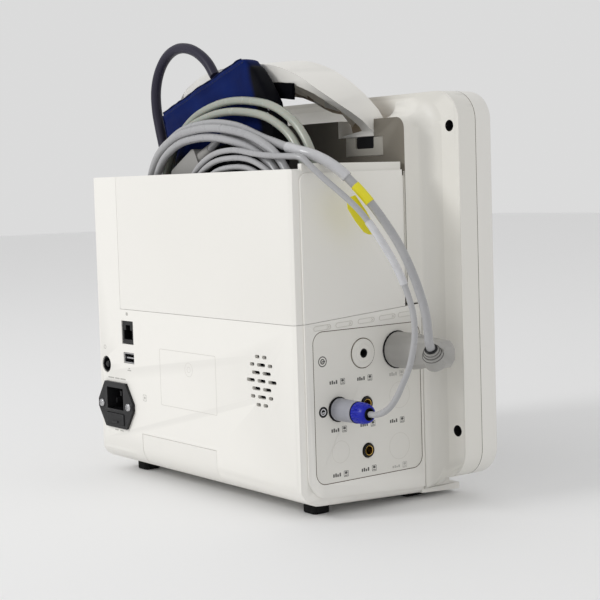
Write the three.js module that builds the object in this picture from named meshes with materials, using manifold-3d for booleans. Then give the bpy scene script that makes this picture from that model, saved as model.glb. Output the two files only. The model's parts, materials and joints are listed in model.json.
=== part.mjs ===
// Bedside patient monitor: display housing in front, equipment body behind it, open accessory bin on top of the body.
// Millimetres, +Z up. The display faces -Y, the rear face looks along +Y and the connector panel is on the -X side.
import * as THREE from "three";
import { mergeVertices } from "three/addons/utils/BufferGeometryUtils.js";
import Module from "manifold-3d";

const wasm = await Module();
wasm.setup();

// ---------- driving dimensions (model frame: y = 0 is the rear face, z = 0 the lower edge of the rear face) ----------
const FOOT_DROP = 14.5; // rear face lower edge above the table
const Y_SHIFT = 79.85; // brings the middle of the depth to y = 0
const GAP = 0.3;

const SKIN_X = 131.6; // outer skin
const SIDE_X = 133; // raised side panels
const BODY_TOP = 220;
const BODY_END = -97.2; // front end of the upper body
const LOWER_END = -109.4; // front end of the lower body
const WALL = 3;
const SEAM_X = 94; // bin to left column
const SEAM_Z0 = 117.3; // bin seam height at the rear face
const SEAM_SLOPE = 0.066; // rise of the seam per mm towards the display
const BIN_FLOOR = 123.6;
const LIP_TOP = 223.5;

const DISP_X = 165; // half width of the display housing
const DISP_Z0 = 1.5;
const DISP_Z1 = 271.5;
const DISP_R = 21;
const DISP_REAR = -118.5;
const DISP_SEAM = -134.4;
const BEZEL_FRONT = -151.5;
const POD_Y = -97.5;
const POD_TOP = 256;

const HANDLE_PIVOT = [-106, 238]; // y, z
const WINDOW = { x: 124.2, z0: 66.6, z1: 253.4 };

// ---------- helpers ----------
const V2 = (x, y) => new THREE.Vector2(x, y);
function solid(geometry) {
  const g = geometry.index ? geometry.toNonIndexed() : geometry;
  const only = new THREE.BufferGeometry().setAttribute("position", g.getAttribute("position").clone());
  const m = mergeVertices(only, 1e-4);
  const tri = [];
  const ix = m.index.array;
  for (let i = 0; i < ix.length; i += 3)
    if (ix[i] !== ix[i + 1] && ix[i + 1] !== ix[i + 2] && ix[i] !== ix[i + 2]) tri.push(ix[i], ix[i + 1], ix[i + 2]);
  return new wasm.Manifold(
    new wasm.Mesh({ numProp: 3, vertProperties: new Float32Array(m.attributes.position.array), triVerts: new Uint32Array(tri) }),
  );
}
function geometryOf(s) {
  const mesh = s.getMesh();
  const n = mesh.numProp;
  const p = new Float32Array(mesh.numVert * 3);
  for (let i = 0; i < mesh.numVert; i++) p.set(mesh.vertProperties.subarray(i * n, i * n + 3), i * 3);
  const g = new THREE.BufferGeometry().setAttribute("position", new THREE.BufferAttribute(p, 3));
  g.setIndex(new THREE.BufferAttribute(new Uint32Array(mesh.triVerts), 1));
  g.computeVertexNormals();
  return g;
}
const join = (...s) => s.reduce((a, b) => a.add(b));
const cut = (a, ...s) => s.reduce((x, b) => x.subtract(b), a);
function box(x0, x1, y0, y1, z0, z1) {
  const g = new THREE.BoxGeometry(Math.abs(x1 - x0), Math.abs(y1 - y0), Math.abs(z1 - z0));
  g.translate((x0 + x1) / 2, (y0 + y1) / 2, (z0 + z1) / 2);
  return solid(g);
}
const BASIS = {
  z: new THREE.Matrix4(),
  y: new THREE.Matrix4().makeBasis(new THREE.Vector3(1, 0, 0), new THREE.Vector3(0, 0, 1), new THREE.Vector3(0, -1, 0)), // (u,v,w) -> (x=u, z=v, y=-w)
  x: new THREE.Matrix4().makeBasis(new THREE.Vector3(0, 1, 0), new THREE.Vector3(0, 0, 1), new THREE.Vector3(1, 0, 0)), // (u,v,w) -> (y=u, z=v, x=w)
};
// Extrusion of a shape: axis y runs from y = a down to y = b (a > b); axis x or z from a up to b (b > a).
function prismGeo(shape, axis, a, b, opt = {}) {
  const depth = Math.abs(b - a);
  const bevel = opt.bevel || 0;
  const g = new THREE.ExtrudeGeometry(shape, {
    depth: depth - 2 * bevel,
    steps: opt.steps || 1,
    curveSegments: opt.seg || 6,
    bevelEnabled: bevel > 0,
    bevelSize: bevel,
    bevelThickness: bevel,
    bevelOffset: -bevel,
    bevelSegments: opt.bevelSegments || 2,
  });
  g.translate(0, 0, bevel);
  g.applyMatrix4(BASIS[axis]);
  if (axis === "y") g.translate(0, a, 0);
  if (axis === "x") g.translate(a, 0, 0);
  if (axis === "z") g.translate(0, 0, a);
  return g;
}
const prism = (...p) => solid(prismGeo(...p));
// Rounded rectangle with corner radii [low-left, low-right, up-right, up-left].
function rrect(x0, x1, y0, y1, r) {
  const [a, b, c, d] = Array.isArray(r) ? r : [r, r, r, r];
  const s = new THREE.Shape();
  s.moveTo(x0 + a, y0);
  s.lineTo(x1 - b, y0);
  if (b) s.absarc(x1 - b, y0 + b, b, -Math.PI / 2, 0, false);
  s.lineTo(x1, y1 - c);
  if (c) s.absarc(x1 - c, y1 - c, c, 0, Math.PI / 2, false);
  s.lineTo(x0 + d, y1);
  if (d) s.absarc(x0 + d, y1 - d, d, Math.PI / 2, Math.PI, false);
  s.lineTo(x0, y0 + a);
  if (a) s.absarc(x0 + a, y0 + a, a, Math.PI, 1.5 * Math.PI, false);
  return s;
}
const poly = (pts) => new THREE.Shape(pts.map(([a, b]) => V2(a, b)));
function turn(pts, seg, axis, centre) {
  // pts: [radius, height] from the axis out and back to the axis
  const g = new THREE.LatheGeometry(pts.map(([r, h]) => V2(r, h)), seg);
  if (axis === "x") g.rotateZ(-Math.PI / 2); // height along +X
  if (axis === "-x") g.rotateZ(Math.PI / 2); // height along -X
  if (axis === "y") g.rotateX(0);
  if (axis === "-y") g.rotateX(Math.PI);
  if (axis === "z") g.rotateX(Math.PI / 2);
  g.translate(...centre);
  return g;
}
const lathe = (pts, seg, axis, centre) => {
  let s = solid(turn(pts, seg, axis, centre));
  if (s.volume() < 0) s = solid(turn([...pts].reverse(), seg, axis, centre));
  return s;
};
const rod = (r, h0, h1, seg, axis, c) => lathe([[0, h0], [r, h0], [r, h1], [0, h1]], seg, axis, c);
function warp(s, fn) {
  const g = geometryOf(s);
  const p = g.getAttribute("position");
  for (let i = 0; i < p.count; i++) {
    const [x, y, z] = fn(p.getX(i), p.getY(i), p.getZ(i));
    p.setXYZ(i, x, y, z);
  }
  return solid(g);
}
function tube(points, r, sides, steps) {
  const curve = new THREE.CatmullRomCurve3(points.map((p) => new THREE.Vector3(...p)), false, "centripetal");
  const sec = new THREE.Shape();
  for (let i = 0; i < sides; i++) {
    const a = (2 * Math.PI * i) / sides;
    if (i) sec.lineTo(r * Math.cos(a), r * Math.sin(a));
    else sec.moveTo(r, 0);
  }
  const g = new THREE.ExtrudeGeometry(sec, { steps, extrudePath: curve, bevelEnabled: false });
  let s = solid(g);
  return s;
}
function oval(cx, cz, a, b, n, count, lean = 0) {
  const pts = [];
  for (let i = 0; i < count; i++) {
    const t = (2 * Math.PI * i) / count;
    const c = Math.cos(t);
    const s = Math.sin(t);
    const x = a * Math.sign(c) * Math.abs(c) ** (2 / n);
    pts.push(V2(cx + x, cz + b * Math.sign(s) * Math.abs(s) ** (2 / n) + lean * x));
  }
  return pts;
}
function ring(cx, cz, a, b, t, y0, y1, lean = 0, count = 28) {
  const sh = new THREE.Shape(oval(cx, cz, a, b, 2.3, count, lean));
  sh.holes.push(new THREE.Path(oval(cx, cz, a - t, b - t, 2.3, count, lean)));
  return prism(sh, "y", y0, y1);
}

const materials = {
  shell: new THREE.MeshStandardMaterial({ color: 0xe9e7e0, roughness: 0.55, metalness: 0 }),
  panel: new THREE.MeshStandardMaterial({ color: 0xdfddd6, roughness: 0.5, metalness: 0 }),
  key: new THREE.MeshStandardMaterial({ color: 0xcfd3d6, roughness: 0.5, metalness: 0 }),
  screen: new THREE.MeshStandardMaterial({ color: 0x101216, roughness: 0.12, metalness: 0 }),
  black: new THREE.MeshStandardMaterial({ color: 0x15151a, roughness: 0.4, metalness: 0 }),
  rubber: new THREE.MeshStandardMaterial({ color: 0x111111, roughness: 0.8, metalness: 0 }),
  steel: new THREE.MeshStandardMaterial({ color: 0xb9bcc0, roughness: 0.3, metalness: 1 }),
  brass: new THREE.MeshStandardMaterial({ color: 0xc9a227, roughness: 0.3, metalness: 1 }),
  board: new THREE.MeshStandardMaterial({ color: 0x1f5a3a, roughness: 0.6, metalness: 0 }),
  battery: new THREE.MeshStandardMaterial({ color: 0x2a2d33, roughness: 0.6, metalness: 0 }),
  cable: new THREE.MeshStandardMaterial({ color: 0xc2c4c6, roughness: 0.45, metalness: 0 }),
  leadCable: new THREE.MeshStandardMaterial({ color: 0xb9bdb2, roughness: 0.35, metalness: 0 }),
  plug: new THREE.MeshStandardMaterial({ color: 0xb4b3ae, roughness: 0.5, metalness: 0 }),
  collar: new THREE.MeshStandardMaterial({ color: 0x1a2bb0, roughness: 0.45, metalness: 0 }),
  hose: new THREE.MeshStandardMaterial({ color: 0x464455, roughness: 0.6, metalness: 0 }),
  cuff: new THREE.MeshStandardMaterial({ color: 0x1c3a78, roughness: 0.9, metalness: 0 }),
  lens: new THREE.MeshStandardMaterial({ color: 0xd9dcd8, roughness: 0.25, metalness: 0 }),
};

const monitor = new THREE.Group();
const assembly = new THREE.Group();
assembly.position.set(0, Y_SHIFT, FOOT_DROP);
monitor.add(assembly);
function add(name, s, material) {
  const mesh = new THREE.Mesh(geometryOf(s), materials[material]);
  mesh.name = name;
  assembly.add(mesh);
  return mesh;
}

// ---------- body: rear shell and bin ----------
// Lower surface of the body, falling towards the display.
const ROLL = 17; // radius that rolls the rear face under
const FALL = 0.055; // fall of the bottom per mm towards the display
const bottomZ = (y) => (y > -ROLL ? 12 - Math.sqrt(ROLL * ROLL - (y + ROLL) ** 2) : -5 - (-y - ROLL) * FALL);
// Points of the roll, from the rear face down to the bottom, d inside the skin.
const roll = (d, n = 7) =>
  Array.from({ length: n + 1 }, (_, i) => {
    const a = ((Math.PI / 2) * i) / n;
    return [-ROLL + (ROLL - d) * Math.cos(a), 12 - (ROLL - d) * Math.sin(a)];
  });
// Prism of a side-view outline across the full width, with rounded vertical edges at the rear.
function bodyBlock(halfX, yRear, yFront, inset, top) {
  const r = 4.5;
  const outline = [
    [-halfX, yFront],
    [-halfX, yRear - r],
    [-halfX + r * 0.29, yRear - r * 0.29],
    [-halfX + r, yRear],
    [halfX - r, yRear],
    [halfX - r * 0.29, yRear - r * 0.29],
    [halfX, yRear - r],
    [halfX, yFront],
  ].reverse();
  const plan = prism(poly(outline), "z", -30, 260);
  const side = prism(
    poly([
      ...roll(0),
      [yFront - 1, bottomZ(yFront - 1)],
      [yFront - 1, 262],
      [yRear, 262],
    ]),
    "x",
    -140,
    140,
  );
  const lower = prism(rrect(-halfX, halfX, -5 + inset, top, [4, 4, 3, 3]), "y", yRear + 1, yFront - 1, { seg: 4 });
  // the lower corner radius follows the falling bottom: shear the section
  const sheared = warp(lower, (x, y, z) => [x, y, z < 40 ? z + (y + ROLL) * FALL - (y > -ROLL ? (y + ROLL) * FALL * 0.999 : 0) : z]);
  return plan.intersect(side).intersect(sheared);
}
const zSeam = (y, d = 0) => SEAM_Z0 - y * SEAM_SLOPE + d;
// Everything above the seam and on the bin's side of the column.
const aboveSeam = (d, dx) =>
  prism(
    poly([
      [5, zSeam(5, d)],
      [5, 300],
      [-160, 300],
      [-160, zSeam(-160, d)],
    ].reverse()),
    "x",
    -200,
    SEAM_X + dx,
  );
const belowSeam = (d, dx) =>
  join(
    prism(
      poly([
        [5, zSeam(5, d)],
        [-160, zSeam(-160, d)],
        [-160, -60],
        [5, -60],
      ].reverse()),
      "x",
      -200,
      200,
    ),
    box(SEAM_X + dx, 200, -160, 5, 0, 300),
  );

const bodySkin = bodyBlock(SKIN_X, 0, LOWER_END, 0, BODY_TOP);
// raised side panels, standing 1.4 mm proud, with rounded rear corners
function sidePanels(top) {
  const sh = new THREE.Shape();
  sh.moveTo(-22, 0.2);
  sh.lineTo(-130, -6.4);
  sh.lineTo(-130, top + 1.5);
  sh.lineTo(-11, top);
  sh.absarc(-11, top - 5, 5, Math.PI / 2, 0, true);
  sh.lineTo(-6, 16.2);
  sh.absarc(-22, 16.2, 16, 0, -Math.PI / 2, true);
  return join(
    prism(sh, "x", -SIDE_X, -SKIN_X + 1, { seg: 5 }),
    prism(sh, "x", SKIN_X - 1, SIDE_X, { seg: 5 }),
  );
}
const outer = join(bodySkin, sidePanels(217).intersect(box(-140, 140, LOWER_END, 5, -40, 300)));
const tongue = prism(
  poly([
    [LOWER_END + 2, bottomZ(LOWER_END + 2)],
    [LOWER_END + 2, -7.2],
    [-143.4, -7.4],
    [-143.4, bottomZ(-143.4)],
  ]),
  "x",
  -SKIN_X,
  SKIN_X,
);

// inside of the lower body and column, open towards the display
const hollow = join(
  prism(poly([[-WALL, 114], [-WALL, 12], [-4.1, 6.6], [-5.4, 4.2], [-6.5, 3], [-140, 3], [-140, 114]]), "x", -SKIN_X + WALL, SKIN_X - WALL),
  box(SEAM_X + WALL, SKIN_X - WALL, -WALL, -140, 100, BODY_TOP - WALL),
  prism(poly([[-6.5, 10], [-6.5, 3], [-8.9, 0.5], [-12.5, -1.3], [-17, -2], [-140, -8.7], [-140, 10]]), "x", -SKIN_X + 17, SKIN_X - 17),
);
// front ends: the upper part stops at the pod, the lower one further forward
const upperStop = box(-140, 140, BODY_END, -160, 124.9, 300);

// openings in the rear face
const INLET = [103.2, 41.2];
const inletHole = box(INLET[0] - 15.3, INLET[0] + 15.3, 5, -10, INLET[1] - 17, INLET[1] + 17);
const netHole = box(84.5 - 8.6, 84.5 + 8.6, 5, -10, 90.2, 108.4);
const usbHole = box(83.7 - 7.9, 83.7 + 7.9, 5, -10, 75.2, 83.8);
const eqHole = rod(6.6, -10, 5, 20, "y", [118.5, 0, 72.2]);
function grille() {
  const rows = [
    [5.2, 5.2],
    [5.2, 9.4, 5.2],
    [9.4, 9.4],
    [9.4, 9.4, 9.4],
    [9.4, 9.4],
    [5.2, 9.4, 5.2],
    [5.2, 5.2],
  ];
  const pitch = 5.5;
  const out = [];
  rows.forEach((row, i) => {
    const z = 77.4 + (i - 3) * pitch;
    const gap = 3;
    const w = row.reduce((a, b) => a + b, 0) + gap * (row.length - 1);
    let x = -91 - w / 2;
    for (const l of row) {
      out.push(prism(rrect(x, x + l, z - 1.25, z + 1.25, 1.24), "y", 5, -8, { seg: 2 }));
      x += l + gap;
    }
  });
  return out;
}
// battery door region
const DOOR = { x0: -33.4, x1: 67.2, z1: 22, depth: 2.6, lip: -24 };
// L-shaped door: a plate on the rear face whose lip wraps under the body
const doorRegion = prism(poly([[5, DOOR.z1], [-DOOR.depth, DOOR.z1], ...roll(DOOR.depth, 5), [DOOR.lip, -2.8], [DOOR.lip, -25], [5, -25]]), "x", DOOR.x0, DOOR.x1);
const doorCut = prism(
  poly([[5, DOOR.z1 + GAP], [-DOOR.depth - GAP, DOOR.z1 + GAP], ...roll(DOOR.depth + GAP, 5), [DOOR.lip - GAP, -2.5], [DOOR.lip - GAP, -25], [5, -25]]),
  "x",
  DOOR.x0 - GAP,
  DOOR.x1 + GAP,
);
const batteryBay = box(-30, 64, 5, -86, 0.5, 19.5);
// connector panel opening
const PANEL = { y0: -107, y1: -12.5, z0: 9.7, z1: 111.9, r: 8 };
const panelHole = prism(rrect(PANEL.y0 - 0.35, PANEL.y1 + 0.35, PANEL.z0 - 0.35, PANEL.z1 + 0.35, PANEL.r + 0.35), "x", -140, -120, { seg: 4 });

let rearShell = outer.intersect(belowSeam(-GAP / 2, GAP / 2));
rearShell = cut(rearShell, hollow, upperStop);
rearShell = join(
  rearShell,
  tongue,
  box(-34, 68, -DOOR.depth - 0.6, -90, 19.8, 22.4), // roof of the battery bay
  prism(poly([[-3.2, 21], [-3.2, 12], [-7.2, 2.2], [-12, -1], [-90, -1], [-90, 21]]), "x", -33.5, -30.4),
  prism(poly([[-3.2, 21], [-3.2, 12], [-7.2, 2.2], [-12, -1], [-90, -1], [-90, 21]]), "x", 64.4, 67.5),
  prism(poly([[-16.6, -3], [-16.6, 0.2], [-90, 0.2], [-90, -7.4]]), "x", -34, 68),
);
rearShell = cut(rearShell, inletHole, netHole, usbHole, eqHole, panelHole, doorCut, batteryBay, ...grille());
// foot recesses
const FEET = [
  ["foot_rear_right", -109, -30, 7.2],
  ["foot_rear_left", 109, -30, 7.2],
  ["foot_front_right", -112, -113.5, 10],
  ["foot_front_left", 112, -113.5, 10],
];
const footShape = (x, y, l, g) => rrect(x - 7.2 - g, x + 7.2 + g, y - l - g, y + l + g, 3.4 + g);
const footSeat = ([, x, y, l]) => prism(footShape(x, y, l, 0.4), "z", -30, bottomZ(y) + 1.4, { seg: 3 });
add("rear_shell", cut(rearShell, ...FEET.map(footSeat)), "shell");
for (const f of FEET) {
  const [name, x, y, l] = f;
  add(name, prism(footShape(x, y, l, 0), "z", -FOOT_DROP, bottomZ(y) + 1.1, { seg: 3, bevel: 0.7, bevelSegments: 1 }), "rubber");
}
add("battery_door", outer.intersect(doorRegion), "shell");

// bin: rear wall and side wall belong to it
let bin = outer.intersect(aboveSeam(GAP / 2, -GAP / 2)).intersect(box(-140, 140, -94.6, 5, 100, 300));
bin = join(bin, box(-131.4, -127.6, -8.5, -94.6, 200, LIP_TOP).intersect(box(-140, 140, -94.6, 5, 0, 300)));
bin = join(bin, box(-131.2, -127.6, -94, BODY_END, 130, 214)); // side skin runs on to the pod
bin = cut(bin, box(-127.6, SEAM_X - 3.9, -4, -86, BIN_FLOOR, 300));
bin = cut(bin, box(-127.6, SEAM_X + 1, -86, -95, 214.5, 300)); // the front wall stops below the rim
const binMesh = bin;
add("storage_bin", binMesh, "shell");

// ---------- display rear housing ----------
const dispShape = (d = 0, r = DISP_R) => rrect(-DISP_X + d, DISP_X - d, DISP_Z0 + d, DISP_Z1 - d, r);
const SKIRT_Z = -6.9; // lower edge of the housing behind the body
const rearPlate = prism(dispShape(), "y", DISP_REAR, DISP_SEAM, { seg: 6 });
// pod: upper part behind the bin, lower part behind the body, with flared side walls
function flare() {
  // rounded outlines that widen towards the display plate
  const steps = [[-104.5, 0], [-109, 0.7], [-112.2, 2], [-114.6, 3.9], [-116.5, 6.6], [-117.8, 10], [-118.6, 15]];
  const slice = ([y, o]) =>
    prism(rrect(-SIDE_X - o, SIDE_X + o, SKIRT_Z, 254.5 + o, [Math.min(20, o * 1.7), Math.min(20, o * 1.7), 8 + o, 8 + o]), "y", y, y - 0.3, { seg: 4 });
  const slices = steps.map(slice);
  let out = slices[0];
  for (let i = 1; i < slices.length; i++) out = out.add(wasm.Manifold.hull([slices[i - 1], slices[i]]));
  return out;
}
const podUpper = prism(rrect(-SIDE_X, SIDE_X, 100, POD_TOP - 1.5, [0, 0, 8, 8]), "y", POD_Y, -119, { seg: 4 });
const skirt = box(-SKIN_X + 0.2, SKIN_X - 0.2, -110, -134, SKIRT_Z, 4);
let housing = join(rearPlate, podUpper, flare(), skirt);
housing = cut(housing, box(-140, 140, 0, -109.65, -40, 125.3)); // room for the lower body
// hollow inside
housing = cut(
  housing,
  prism(dispShape(3, DISP_R - 3), "y", DISP_REAR - 3, -140, { seg: 6 }),
  box(-128, 128, -113, -125, 12, 122),
  box(-128, 128, -100.7, -125, 130, 222),
);
// pockets for the handle's arms, with a low rear wall that carries the retainer plates
for (const sx of [-1, 1]) {
  const span = (a, b) => [Math.min(sx * a, sx * b), Math.max(sx * a, sx * b)];
  const [p0, p1] = span(61.5, 102);
  const [q0, q1] = span(54, 102);
  housing = join(housing, box(...span(58, 106), -98, -123, 224, 240));
  housing = cut(
    housing,
    box(p0, p1, -99.6, -118, 228, 300),
    box(q0, q1, -99, -118.2, 256.2, 300),
    box(...span(70, 101.3), 0, -100, 242, 300),
    box(...span(61.5, 101.3), 0, -100, 242.1, 300),
    box(...span(70.2, 110.6), 0, -99.7, 228.4, 242.1), // seat of the retainer plate
  );
}
// screw holes at the corners of the housing
const SCREWS = [
  ["housing_screw_1", -156, 247],
  ["housing_screw_2", -157.5, 36],
  ["housing_screw_3", 156, 247],
  ["housing_screw_4", 157.5, 36],
];
for (const [, x, z] of SCREWS) {
  housing = join(housing, rod(6, -1, 14, 18, "-y", [x, DISP_REAR, z]).intersect(prism(dispShape(0.5), "y", DISP_REAR - 1, -133)));
  housing = cut(housing, rod(4, -5, 9, 20, "-y", [x, DISP_REAR, z]));
}
add("display_rear_housing", housing, "shell");
for (const [name, x, z] of SCREWS)
  add(name, cut(lathe([[0, -8.7], [3, -8.7], [3, -6.4], [2.2, -5.6], [0, -5.6]], 16, "y", [x, DISP_REAR, z]), box(x - 1.7, x + 1.7, DISP_REAR - 4, DISP_REAR - 7, z - 0.4, z + 0.4), box(x - 0.4, x + 0.4, DISP_REAR - 4, DISP_REAR - 7, z - 1.7, z + 1.7)), "steel");

for (const [sx, tag] of [[-1, "right"], [1, "left"]]) {
  const span = (a, b) => [Math.min(sx * a, sx * b), Math.max(sx * a, sx * b)];
  let plate = box(...span(70.5, 110.3), POD_Y, -99.4, 228.7, 241.8);
  plate = cut(plate, prism(rrect(...span(80, 100.5), 233.8, 250, 1.6), "y", 0, -110, { seg: 2 }));
  add("handle_retainer_" + tag, plate, "shell");
}

// ---------- handle ----------
const outerArc = [
  [0, 302], [16, 301.9], [29, 301.3], [38, 300.3], [46, 298.8], [54, 296.6], [62, 293.9], [70, 290.8], [77, 287.2], [83, 283.2], [88.5, 278.4],
  [93, 273.2], [96.4, 267.4], [98.8, 261], [100, 254], [100.2, 246], [100.2, 232],
];
const frontInner = [
  [0, 276.4], [16, 275.9], [27, 274], [37, 270], [43.6, 265], [49.6, 262], [55.4, 260.6], [60, 259.8], [62.2, 257.6], [63.5, 251], [63.8, 244], [63.8, 232],
];
const rearInner = [
  [0, 288.6], [24, 288.4], [38, 287.8], [52, 286.6], [64, 284.2], [73.5, 280.7], [80.6, 276.2], [86, 270.6], [89.2, 263.8], [90.4, 256], [90, 249.6], [88.6, 246.6],
];
const mirrorPts = (pts) => [...pts.slice(1).reverse().map(([x, z]) => [-x, z]), ...pts];
const band = (outside, inside) => poly([...mirrorPts(outside), ...mirrorPts(inside).reverse()]);
const HALF_W = 17.4;
// Distance from the arch centre (0, 205) to a wall's lower edge, at an angle from upright.
function radiusAt(edge, a) {
  for (let i = 1; i < edge.length; i++) {
    const [x0, z0] = edge[i - 1];
    const [x1, z1] = edge[i];
    const a0 = Math.atan2(x0, z0 - 205);
    const a1 = Math.atan2(x1, z1 - 205);
    if (a >= a0 && a <= a1) {
      const t = (a - a0) / (a1 - a0);
      return Math.hypot(x0 + (x1 - x0) * t, z0 + (z1 - z0) * t - 205);
    }
  }
  return 90;
}
let grip = prism(band(outerArc, frontInner), "y", HALF_W, -HALF_W, { steps: 1 });
// the rear wall is shorter than the front one
grip = cut(grip, prism(band(rearInner, [...frontInner.slice(0, 8), [63, 246.6]].map(([x, z]) => [Math.max(0, x), z - 3])), "y", HALF_W + 2, -HALF_W + 2.8));
// channel between the walls
const inset3 = outerArc.slice(0, 15).map(([x, z], i) => {
  const a = outerArc[Math.max(0, i - 1)];
  const b = outerArc[i + 1];
  const nx = b[1] - a[1];
  const nz = -(b[0] - a[0]);
  const l = Math.hypot(nx, nz);
  return [Math.max(0, x + (nx / l) * 3), z + (nz / l) * 3];
});
inset3[0][0] = 0;
inset3.push([96.6, 247]);
let channel = prism(band(inset3, [...rearInner.slice(0, 11), [89.2, 247]]), "y", HALF_W - 2.8, -HALF_W + 2.8);
const ribs = [];
for (const sx of [-1, 1])
  for (const x of [20, 40, 57, 71, 80.6]) {
    const z = 205 + Math.sqrt(97 ** 2 - x ** 2);
    const a = Math.atan2(x, z - 205);
    const r0 = radiusAt(rearInner, a) - 0.6;
    const r1 = radiusAt(frontInner, a) + 1.2;
    const g = prismGeo(poly([[HALF_W - 2, 110], [HALF_W - 2, r0], [-HALF_W + 2, r1], [-HALF_W + 2, 110]]), "x", -0.8, 0.8);
    g.rotateY(sx * a);
    g.translate(0, 0, 205);
    ribs.push(solid(g));
  }
channel = cut(channel, ...ribs);
grip = cut(grip, channel);
// each rib runs on below the rear wall, sloping down to the front one
const ribBand = prism(band(outerArc, frontInner), "y", HALF_W - 1.4, -HALF_W + 1.4);
grip = join(grip, ...ribs.map((r) => r.intersect(ribBand)));
const lerpTable = (t) => (z) => {
  if (z >= t[0][0]) return t[0][1];
  for (let i = 1; i < t.length; i++)
    if (z >= t[i][0]) return t[i][1] + ((z - t[i][0]) / (t[i - 1][0] - t[i][0])) * (t[i - 1][1] - t[i][1]);
  return t[t.length - 1][1];
};
const yFrontOf = lerpTable([[302, -87], [287, -89], [278, -93], [269, -98.5], [259, -106], [250, -110.4], [242, -112], [232, -112]]);
const yRearOf = lerpTable([[302, -52.6], [290, -53.6], [281, -56.5], [270, -66], [262, -77], [254, -88], [247, -96.6], [242.4, -100.2], [232, -100.2]]);
grip = warp(grip, (x, y, z) => {
  const t = (y + HALF_W) / (2 * HALF_W); // 0 front, 1 rear
  const zz = Math.min(z, 302);
  return [x, yFrontOf(zz) * (1 - t) + yRearOf(zz) * t, z - (z > 250 ? t * 3.6 * Math.min(1, (z - 250) / 30) : 0)];
});
const pinHole = (sx) => rod(2.1, -60, 60, 14, "x", [sx * 80, HANDLE_PIVOT[0], HANDLE_PIVOT[1]]);
grip = cut(grip, pinHole(-1), pinHole(1));
// the arms pass in front of the retainer plates, and their ends are cut back to swing forward past them
grip = cut(grip, box(-112, 112, -100.2, -60, 225, 242.6), prism(poly([[-100, 238.6], [-100.3, 238.6], [-104.4, 231], [-104, 229], [-98, 229], [-98, 238.6]]), "x", -112, 112));
add("handle", grip.simplify(0.01), "shell");
// pins run from the pocket's outer wall to its inner wall
for (const [sx, tag] of [[-1, "right"], [1, "left"]]) {
  const x0 = sx < 0 ? -101.7 : 61.8;
  add("handle_pin_" + tag, rod(2, 0, 39.9, 14, "x", [x0, HANDLE_PIVOT[0], HANDLE_PIVOT[1]]), "steel");
}

// ---------- front ----------
let bezel = cut(
  prism(dispShape(), "y", DISP_SEAM - GAP, BEZEL_FRONT, { seg: 6, bevel: 0 }),
  prism(dispShape(3, DISP_R - 3), "y", DISP_SEAM + 2, -148.4, { seg: 6 }),
);
// the front edge is rounded: cut it back with a chamfered frame
const bezelEnvelope = prism(dispShape(), "y", DISP_SEAM + 8, BEZEL_FRONT, { seg: 6, bevel: 4, bevelSegments: 3 });
bezel = bezel.intersect(bezelEnvelope);
bezel = cut(bezel, box(-WINDOW.x - GAP, WINDOW.x + GAP, -140, -160, WINDOW.z0 - GAP, WINDOW.z1 + GAP));
const KEYS = [-70, -38, -6, 26];
for (const x of KEYS) bezel = cut(bezel, prism(rrect(x - 11.4, x + 11.4, 33.6, 44.4, 3.4), "y", -140, -160, { seg: 3 }));
bezel = cut(bezel, rod(8.4, -160, -140, 24, "y", [-126, 0, 39]), rod(4.4, -160, -140, 20, "y", [121, 0, 39]));
bezel = cut(bezel, box(-40.3, 40.3, -140, -160, 259.2, 265.8));
add("front_bezel", bezel, "panel");
add("screen_window", box(-WINDOW.x, WINDOW.x, -148.2, -150.9, WINDOW.z0, WINDOW.z1), "screen");
add("lcd_module", box(-128, 128, -139.5, -147.9, 62, 256.5), "steel");
KEYS.forEach((x, i) =>
  add(
    "front_key_" + (i + 1),
    join(prism(rrect(x - 11, x + 11, 34, 44, 3), "y", -145.9, -152.6, { seg: 3, bevel: 0.5, bevelSegments: 1 }), box(x - 13, x + 13, -145.9, -148.1, 32.5, 45.5)),
    "key",
  ),
);
add("power_key", join(lathe([[0, -152.6], [7.3, -152.6], [8, -151.9], [8, -145.9], [0, -145.9]], 24, "y", [-126, 0, 39]), rod(9.6, -148.1, -145.9, 24, "y", [-126, 0, 39])), "key");
add(
  "rotary_knob",
  join(
    lathe([[0, -164], [9.6, -164], [11.6, -162.4], [12, -152], [0, -152]], 28, "y", [121, 0, 39]),
    rod(4, -153, -143.4, 16, "y", [121, 0, 39]),
  ),
  "panel",
);
add("alarm_lens", box(-40, 40, -146.4, -151.2, 259.5, 265.5), "lens");

// ---------- inside ----------
add("main_board", box(-110, 118, -124, -125.6, 30, 236), "board");
add("power_board", box(20, 124, -60, -61.6, 28, 108), "board");
add("parameter_board", box(-114, -112.4, -22, -100, 18, 108), "board");
add("air_pump", join(rod(13, 0, 46, 20, "x", [-70, -66, 92]), box(-76, -70, -56, -76, 82, 102)), "steel");
add("speaker", lathe([[0, 0], [19, 0], [19, 3.5], [10, 13], [0, 13]], 20, "-y", [-91, -4.6, 77.4]), "black");
add("battery", box(-29, 63, -9.5, -84, 1.2, 18.6), "battery");

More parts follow.
